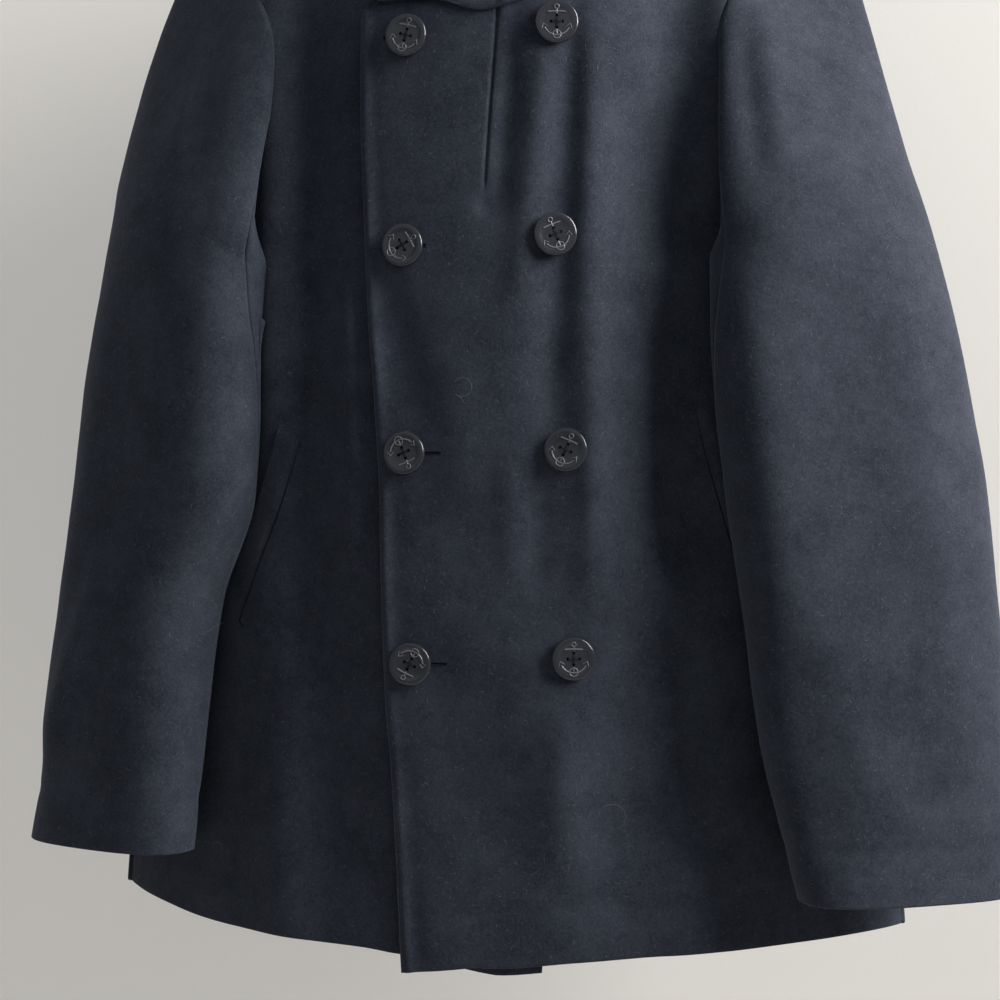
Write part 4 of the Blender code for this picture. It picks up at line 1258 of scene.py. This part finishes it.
def button_master(material):
    """The button without its thread, lying on the XY plane."""
    r = BUTTON_D / 2
    t = BUTTON_T
    outside = [(0.0, 0.0), (r * 0.80, 0.0), (r * 0.90, t * 0.10), (r * 0.965, t * 0.30), (r, t * 0.55)]
    rim = [(r * 0.997, t * 0.74), (r * 0.985, t * 0.88), (r * 0.963, t * 0.965)]
    shares = (0.93, 0.83, 0.78, 0.75, 0.72, 0.68, 0.64, 0.60, 0.56, 0.45, 0.12)
    dish = [(r * share, t * read(FACE, "height", share)) for share in shares]
    verts, faces = lathe(outside + rim + dish + [(0.0, FACE_Z)], 72)
    body = solid_piece("button_master", verts, faces, material)
    holes = []
    off = BUTTON_HOLE_OFF
    for x, y in ((off, 0), (0, off), (-off, 0), (0, -off)):
        ring = arc(x, y, BUTTON_HOLE_D / 2, 0, 360, 21)[:-1]
        walls = [(p[0], p[1], z) for z in (-0.01, 0.01) for p in ring]
        holes.append((walls, tube_faces(2, 20) + tube_ends(2, 20)))
    cutter = solid_piece("hole_cutter", *joined(holes), material)
    cut = body.modifiers.new("holes", "BOOLEAN")
    cut.object = cutter
    cut.solver = "EXACT"
    pierced = finished_mesh(body)
    bpy.data.objects.remove(cutter, do_unlink=True)
    return pierced


def with_relief(base):
    """The pierced button and its anchor in one mesh."""
    bm = bmesh.new()
    bm.from_mesh(base)
    for path, radius, closed in anchor_lines():
        verts, faces = rope(path, radius, 10, closed)
        made = [bm.verts.new(v) for v in verts]
        for face in faces:
            bm.faces.new([made[i] for i in face]).material_index = 1
    bm.normal_update()
    mesh = bpy.data.meshes.new("button_with_anchor")
    bm.to_mesh(mesh)
    bm.free()
    mesh.materials.append(plastic)
    mesh.materials.append(anchor_highlight_paint)
    return mesh


def stand_at(x, z, surface, radius):
    """Where a round piece rests on the cloth: the point behind it, its normal and how far it stands off."""
    here, _ = front_hit(surface, x, z)
    turns = [2 * math.pi * k / 16 for k in range(16)]
    ring = [front_hit(surface, x + radius * math.cos(a), z + radius * math.sin(a))[0] for a in turns]
    normal = (ring[0] - ring[8]).normalized().cross((ring[4] - ring[12]).normalized()).normalized()
    if normal.y > 0:
        normal = -normal
    return here, normal, max(0.0, *((point - here).dot(normal) for point in ring))


plastic = plastic_material("black_plastic", (0.022, 0.024, 0.031, 1), 0.16, 0.30)
# The anchor's pale plastic is painted highlight, standing in for the glints on its raised lines.
anchor_highlight_paint = plastic_material("anchor_painted_highlight", (0.130, 0.134, 0.150, 1), 0.22, 0.36)
button_thread = thread_material("button_thread", (0.017, 0.019, 0.026, 1))
pierced_button = button_master(plastic)
button_mesh = with_relief(pierced_button)
thread_rng = random.Random(7)
for number, x, z, turn in rows_of(BUTTONS):
    here, normal, stand = stand_at(x, z, top_surface, BUTTON_D * 0.45)
    turn = math.radians(turn)
    across = normal.cross(Vector((0, 0, 1))).normalized()
    upward = across.cross(normal).normalized()
    right = -across * math.cos(turn) - upward * math.sin(turn)
    basis = Matrix((right, normal.cross(right), normal)).transposed().to_4x4()
    place = Matrix.Translation(here + normal * (stand + SEAM)) @ basis
    mesh = button_mesh.copy()
    mesh.transform(place)
    mesh.polygons.foreach_set("use_smooth", [True] * len(mesh.polygons))
    mesh.set_sharp_from_angle(angle=math.radians(50))
    name = f"button_{int(number)}"
    button = in_scene(name + "_moulded", mesh)
    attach(button, "root")
    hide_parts(name)
    strands = []
    off = BUTTON_HOLE_OFF
    for level in (0, 1):
        for strand in range(3):
            shift = (strand - 1.0) * 0.00045 + thread_rng.uniform(-0.00008, 0.00008)
            rise = FACE_Z + 0.0002 + 0.0003 * level + thread_rng.uniform(0, 0.0002)
            path = [(shift, -off - 0.0003, 0.0008), (shift, -off + 0.0004, rise - 0.0001)]
            path.append((shift * 1.3, 0, rise + 0.0001))
            path += [(shift, off - 0.0004, rise - 0.0001), (shift, off + 0.0003, 0.0008)]
            strands.append(rope([(y, x, z) for x, y, z in path] if level else path, THREAD_RADIUS, 6))
    verts, faces = joined(strands)
    verts = [tuple(place @ Vector(v)) for v in verts]
    thread = solid_piece(name + "_thread", verts, faces, button_thread)
    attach(thread, "root")
bpy.data.meshes.remove(pierced_button)


# ------------------------------------------------------------------ buttonholes
# Straight worked buttonholes in the top front, one under each button of the left column: a cut
# 30 mm long, bound on both sides with navy twist. Part of each shows beside its button.
HOLES = mm_table(
    "button left right",
    (1, -17, 13.5),
    (2, -15, 16),
    (3, -6, 24.5),
    (4, -6, 24.5),
)
STITCH_STEP = 0.00062
STITCH_WIDTH = 0.0015
CUT_HALF = 0.00045
# The buttonhole cut is a near-black rope: painted shadow in the slit.
cut_shadow = thread_material("buttonhole_cut_painted_shadow", (0.002, 0.002, 0.003, 1))
# Painted shadow for the creases along the welts' sewn edges.
crease_shadow = thread_material("crease_shadow", (0.0065, 0.0075, 0.0110, 1))
twist_thread = thread_material("buttonhole_twist", (0.024, 0.028, 0.040, 1))


def on_top(x, z, lift):
    point, normal = front_hit(top_surface, x, z)
    return tuple(point + normal * lift)


for number, left, right in rows_of(HOLES):
    x0, z0 = (read(BUTTONS, axis, number) for axis in ("x", "z"))
    along = np.arange(left, right, STITCH_STEP)
    bars = []
    for place in along:
        for side in (-1, 1):
            reach = STITCH_WIDTH + thread_rng.uniform(-0.00025, 0.00025)
            lean = thread_rng.uniform(-0.0002, 0.0002)
            x = x0 + place
            path = [
                on_top(x, z0 + side * CUT_HALF, 0.00010),
                on_top(x + lean * 0.5, z0 + side * reach * 0.5, 0.00030),
                on_top(x + lean, z0 + side * reach, -0.00008),
            ]
            bars.append(rope(path, 0.00024, 5))
    # The cut, painted as shadow: a near-black rope down the middle of the stitches.
    cut = rope([on_top(x0 + place, z0, 0.00008) for place in along], 0.00042, 6)
    for name, shape, material in (("stitches", joined(bars), twist_thread), ("cut", cut, cut_shadow)):
        piece = solid_piece(f"buttonhole_{int(number)}_{name}", *shape, material)
        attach(piece, "root")


# ------------------------------------------------------------------ seams of the welts
# The sewn edge of each welt is marked by a thin dark navy rope, with a tack at its lower end:
# painted shadow standing in for the sharp crease where the seam draws the cloth in.
for label, surface, tab in welt_lines:
    path = []
    for key in np.linspace(tab["row"][0], tab["row"][-1], 60):
        point, normal = front_hit(surface, *point_in(tab, "in", key, "xz"))
        path.append(point + normal * 0.00018)
    low = min(path, key=lambda p: p.z)
    away = 1 if label == "welt_right" else -1
    tack = [front_hit(surface, low.x + away * 0.001 * k, low.z - 0.0011 * k) for k in range(5)]
    width = [0.00038 * min(1.0, 0.15 + 1.6 * k / 60) for k in range(60)]
    shapes = [rope(path, width, 6), rope([point + normal * 0.0002 for point, normal in tack], 0.00036, 6)]
    # Both ropes are painted shadow, laid on the front where the crease would be in shade.
    crease = solid_piece(label + "_seam", *joined(shapes), crease_shadow)
    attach(crease, "root")


# ------------------------------------------------------------------ lint
# Short pale fibres and a few longer hairs that have caught in the nap. They lie every way over the
# coat, in drifts, and only the nap holds them.
LINT_RADIUS = 0.000042
LINT_OFF = 0.00012  # above the cloth
HAIR_RADIUS = 0.00008
LINT_SHAPES = (
    ((-0.0020, 0.0000, 0.0000), (0.0002, 0.0012, 0.0005), (0.0020, 0.0000, 0.0001)),
    ((-0.0022, -0.0003, 0.0000), (0.0000, 0.0004, 0.0003), (0.0020, 0.0006, 0.0002)),
    ((-0.0012, 0.0000, 0.0000), (0.0006, 0.0028, 0.0006), (0.0012, -0.0002, 0.0002)),
)
HAIRS = mm_table(
    "x z radius start end",
    (-14.2, -479, 6.2, -120, 150),
    (-21.5, -492.5, 9, 20, 75),
    (80.1, -266.9, 12, 60, 95),
    (83, -270, 10, 150, 185),
    (-206, -630, 16, -60, -25),
    (81.2, -764, 9, -50, 125),
    (-199.8, -797.2, 3.4, -20, 200),
    (-50.5, -324.5, 1.2, 0, 120),
    (-144.9, -706.1, 1.3, 40, 170),
    (-304, -781.7, 1.4, 80, 220),
)


def lint_group():
    """Fibres of three shapes scattered in drifts over a surface, each turned and sized its own way."""
    group = bpy.data.node_groups.new("lint", "GeometryNodeTree")
    sockets = ("Geometry Geometry", "Density Float", "Radius Float", "Seed Int", "Fibre Material")
    for name, kind in (socket.split() for socket in sockets):
        group.interface.new_socket(name, in_out="INPUT", socket_type="NodeSocket" + kind)
    group.interface.new_socket("Geometry", in_out="OUTPUT", socket_type="NodeSocketGeometry")
    given = group.nodes.new("NodeGroupInput").outputs

    def step(kind, result, **settings):
        return node(group, kind, **settings).outputs[result]

    def random_between(low, high, seed):
        made = node(group, "FunctionNodeRandomValue", data_type="FLOAT")
        values = {"Min_001": low, "Max_001": high, "Seed": seed}
        for socket in made.inputs:
            if socket.identifier in values:
                socket.default_value = values[socket.identifier]
        return next(s for s in made.outputs if s.identifier == "Value_001")

    drift = step("ShaderNodeTexNoise", "Fac", scale=11.0, detail=3.0)
    spread = node(group, "ShaderNodeMapRange", from_min=0.38, from_max=0.66, to_min=0.25, to_max=1.9)
    feed(group, spread.inputs["Value"], drift)
    amount = node(group, "ShaderNodeMath", operation="MULTIPLY")
    feed(group, amount.inputs[0], spread.outputs["Result"])
    feed(group, amount.inputs[1], given["Density"])
    scatter = node(group, "GeometryNodeDistributePointsOnFaces", mesh=given["Geometry"], seed=given["Seed"])
    feed(group, scatter.inputs["Density"], amount.outputs[0])
    profile = step("GeometryNodeCurvePrimitiveCircle", "Curve", resolution=3, radius=given["Radius"])
    shapes = group.nodes.new("GeometryNodeJoinGeometry")
    for a, b, c in LINT_SHAPES:
        line = step("GeometryNodeCurveQuadraticBezier", "Curve", resolution=3, start=a, middle=b, end=c)
        tube = step("GeometryNodeCurveToMesh", "Mesh", curve=line, profile_curve=profile)
        single = step("GeometryNodeGeometryToInstance", "Instances", geometry=tube)
        feed(group, shapes.inputs["Geometry"], single)
    spin = step("ShaderNodeCombineXYZ", "Vector", z=random_between(0.0, 2 * math.pi, 3))
    spin = step("FunctionNodeEulerToRotation", "Rotation", euler=spin)
    turned = node(group, "FunctionNodeRotateRotation", rotation_space="LOCAL", rotate_by=spin)
    feed(group, turned.inputs["Rotation"], scatter.outputs["Rotation"])
    place = node(group, "GeometryNodeInstanceOnPoints", pick_instance=True, points=scatter.outputs["Points"])
    feed(group, place.inputs["Instance"], shapes.outputs["Geometry"])
    feed(group, place.inputs["Rotation"], turned.outputs["Rotation"])
    feed(group, place.inputs["Scale"], random_between(0.18, 0.80, 8))
    whole = step("GeometryNodeRealizeInstances", "Geometry", geometry=place.outputs["Instances"])
    painted = step("GeometryNodeSetMaterial", "Geometry", geometry=whole, material=given["Fibre"])
    feed(group, group.nodes.new("NodeGroupOutput").inputs["Geometry"], painted)
    return group


lint_fibre = thread_material("lint_fibre", (0.30, 0.31, 0.35, 1))
hair = thread_material("stray_hair", (0.20, 0.19, 0.20, 1))
lint_nodes = lint_group()
bare = front_under[..., 0].max(axis=0) < 0.03  # the columns of the under front that the top one leaves bare
lint_grounds = [
    ("front_left", front_top, grid_normals(front_top, NORTH), 19000),
    ("front_right", front_under[:, bare], grid_normals(front_under, NORTH)[:, bare], 15000),
    ("back_left", back_plus, grid_normals(back_plus, SOUTH), 4000),
    ("back_right", back_minus, grid_normals(back_minus, SOUTH), 4000),
]
for part, first, last, *densities in (
    ("top_sleeve_", BACK_SEAM - STATIONS, FRONT_SEAM, 16000, 20000),
    ("under_sleeve_", FRONT_SEAM, BACK_SEAM, 3500, 3500),
):
    columns = [k % STATIONS for k in range(first, last + 1)]
    for label, rings, density in zip(("right", "left"), sleeve_grids, densities):
        lint_grounds.append((part + label, rings[:, columns], ring_normals(rings)[:, columns], density))
for seed, (label, grid, normals, density) in enumerate(lint_grounds, 1):
    points = (grid + normals * LINT_OFF).reshape(-1, 3)
    quads = grid_quads(*grid.shape[:2])
    a, b, c = points[quads[:, 0]], points[quads[:, 1]], points[quads[:, 3]]
    if np.sum(np.cross(b - a, c - a) * normals.reshape(-1, 3)[quads[:, 0]]) < 0:
        quads = quads[:, ::-1]
    mesh = bpy.data.meshes.new("lint_ground")
    mesh.from_pydata(points.tolist(), [], quads.tolist())
    ground = in_scene("lint_ground", mesh)
    growth = ground.modifiers.new("lint", "NODES")
    growth.node_group = lint_nodes
    given = {"Density": float(density), "Radius": LINT_RADIUS, "Seed": seed, "Fibre": lint_fibre}
    for item in lint_nodes.interface.items_tree:
        if item.name in given:
            growth[item.identifier] = given[item.name]
    lint = in_scene(label + "_lint", finished_mesh(ground))
    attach(lint, "root")

whole_front = surface_tree(front_under, front_top, *sleeve_grids)
hairs = []
for x, z, radius, start, end in rows_of(HAIRS):
    path = []
    for step, (x, z, _) in enumerate(arc(x, z, radius, start, end, 6 + int(abs(end - start) / 18))):
        point, normal = front_hit(whole_front, x, z)
        path.append(point + normal * (0.00025 + 0.00020 * math.sin(1.7 * step)))
    hairs.append(rope(path, HAIR_RADIUS, 5))
strays = solid_piece("stray_hairs", *joined(hairs), hair)
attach(strays, "root")


# ------------------------------------------------------------------ hanger
# Turned and steamed beech: a shoulder bar with an oval section, varnished, under the shoulders.
HANGER = mm_table(
    "x top half_y half_z",
    (0, -87.3, 5.8, 15),
    (20, -89.3, 5.8, 14.5),
    (50, -97.8, 5.6, 13.5),
    (80, -105.5, 5.5, 13),
    (120, -116.1, 5.5, 13),
    (160, -127.9, 5.2, 13),
    (190, -137.6, 4.6, 11.5),
    (204, -143.6, 3.6, 8.5),
)
HANGER_END = 0.204
HANGER_ROUND = 0.0034  # length of the rounding at each end
WOOD_LIGHT = (0.42, 0.255, 0.125, 1)
WOOD_DARK = (0.255, 0.135, 0.058, 1)


def bar(path, radii_y, radii_z, sides, power=1.0):
    """A closed bar along a path in the XZ plane, with oval sections and flat ends."""
    verts = []
    count = len(path)
    for i, (x, z) in enumerate(path):
        along = unit(np.subtract(path[min(i + 1, count - 1)], path[max(i - 1, 0)]))
        up = (-along[1], along[0])
        for k in range(sides):
            a = 2 * math.pi * k / sides
            c = math.copysign(abs(math.cos(a)) ** power, math.cos(a))
            s = math.copysign(abs(math.sin(a)) ** power, math.sin(a))
            verts.append((x + up[0] * s * radii_z[i], c * radii_y[i], z + up[1] * s * radii_z[i]))
    return verts, tube_faces(count, sides) + tube_ends(count, sides)


def wood_material():
    looks = {"Roughness": 0.42, "Coat Weight": 0.4, "Coat Roughness": 0.18}
    material, tree, shader = new_material("varnished_beech", looks)
    place = node(tree, "ShaderNodeTexCoord").outputs["Object"]
    lay = node(tree, "ShaderNodeMapping", scale=(4, 60, 60), vector=place).outputs["Vector"]
    grain = textured(tree, shader, 0.15, 0.0004, vector=lay, scale=6, detail=6.0, distortion=0.6)
    ramp = node(tree, "ShaderNodeValToRGB", fac=grain)
    for stop, position, colour in zip(ramp.color_ramp.elements, (0.32, 0.68), (WOOD_DARK, WOOD_LIGHT)):
        stop.position = position
        stop.color = colour
    feed(tree, shader.inputs["Base Color"], ramp.outputs["Color"])
    return material


half_x = spaced(0, HANGER_END, [0.0], 0.03, 60)
round_turn = np.linspace(0.2, 1.45, 7)
end_x = HANGER_END + HANGER_ROUND * np.sin(round_turn)
half_y, half_z = (read(HANGER, name, half_x) for name in ("half_y", "half_z"))
middle = read(HANGER, "top", half_x) - half_z
slope = (middle[-1] - middle[-4]) / (half_x[-1] - half_x[-4])
bar_x = np.concatenate([half_x, end_x])
bar_z = np.concatenate([middle, middle[-1] + (end_x - HANGER_END) * slope])
bar_half_y, bar_half_z = (np.concatenate([half, half[-1] * np.cos(round_turn)]) for half in (half_y, half_z))
bar_path = list(zip(np.concatenate([-bar_x[:0:-1], bar_x]), np.concatenate([bar_z[:0:-1], bar_z])))
bar_half_y, bar_half_z = (np.concatenate([half[:0:-1], half]) for half in (bar_half_y, bar_half_z))
verts, faces = bar(bar_path, bar_half_y, bar_half_z, 40, 0.8)
hanger = solid_piece("hanger_wood", verts, faces, wood_material())
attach(hanger, "root")
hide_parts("hanger")


# ------------------------------------------------------------------ hook
# Drawn steel wire, bent round a former and screwed down through the middle of the bar.
HOOK_WIRE = 0.0036
HOOK_INNER_R = 0.018


def steel_material():
    looks = {"Base Color": (0.60, 0.60, 0.59, 1), "Metallic": 1.0}
    material, tree, shader = new_material("drawn_steel", looks)
    place = node(tree, "ShaderNodeTexCoord").outputs["Object"]
    lines = node(tree, "ShaderNodeTexNoise", scale=900, detail=3.0, vector=place).outputs["Fac"]
    rough = node(tree, "ShaderNodeMapRange", to_min=0.20, to_max=0.38, value=lines)
    feed(tree, shader.inputs["Roughness"], rough.outputs["Result"])
    return material


wire = HOOK_WIRE / 2
curve_r = HOOK_INNER_R + wire
stem = [(0.0, -0.1120), (0.0, -0.0900), (0.0, -0.0680), (0.0008, -0.0580), (0.0048, -0.0480)]
line = np.concatenate([stem, arc(0, -HOOK_INNER_R, curve_r, -42, 204, 42)[:, :2]])
path, at = through(line, 130)
radii = wire * np.sqrt(1 - np.clip((at - at[-1] + wire) / wire, 0, 0.97) ** 2)  # rounded off at its tip
verts, faces = bar(path, radii, radii, 20)
hook = solid_piece("hook_wire", verts, faces, steel_material())
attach(hook, "root")
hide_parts("hanger_hook")
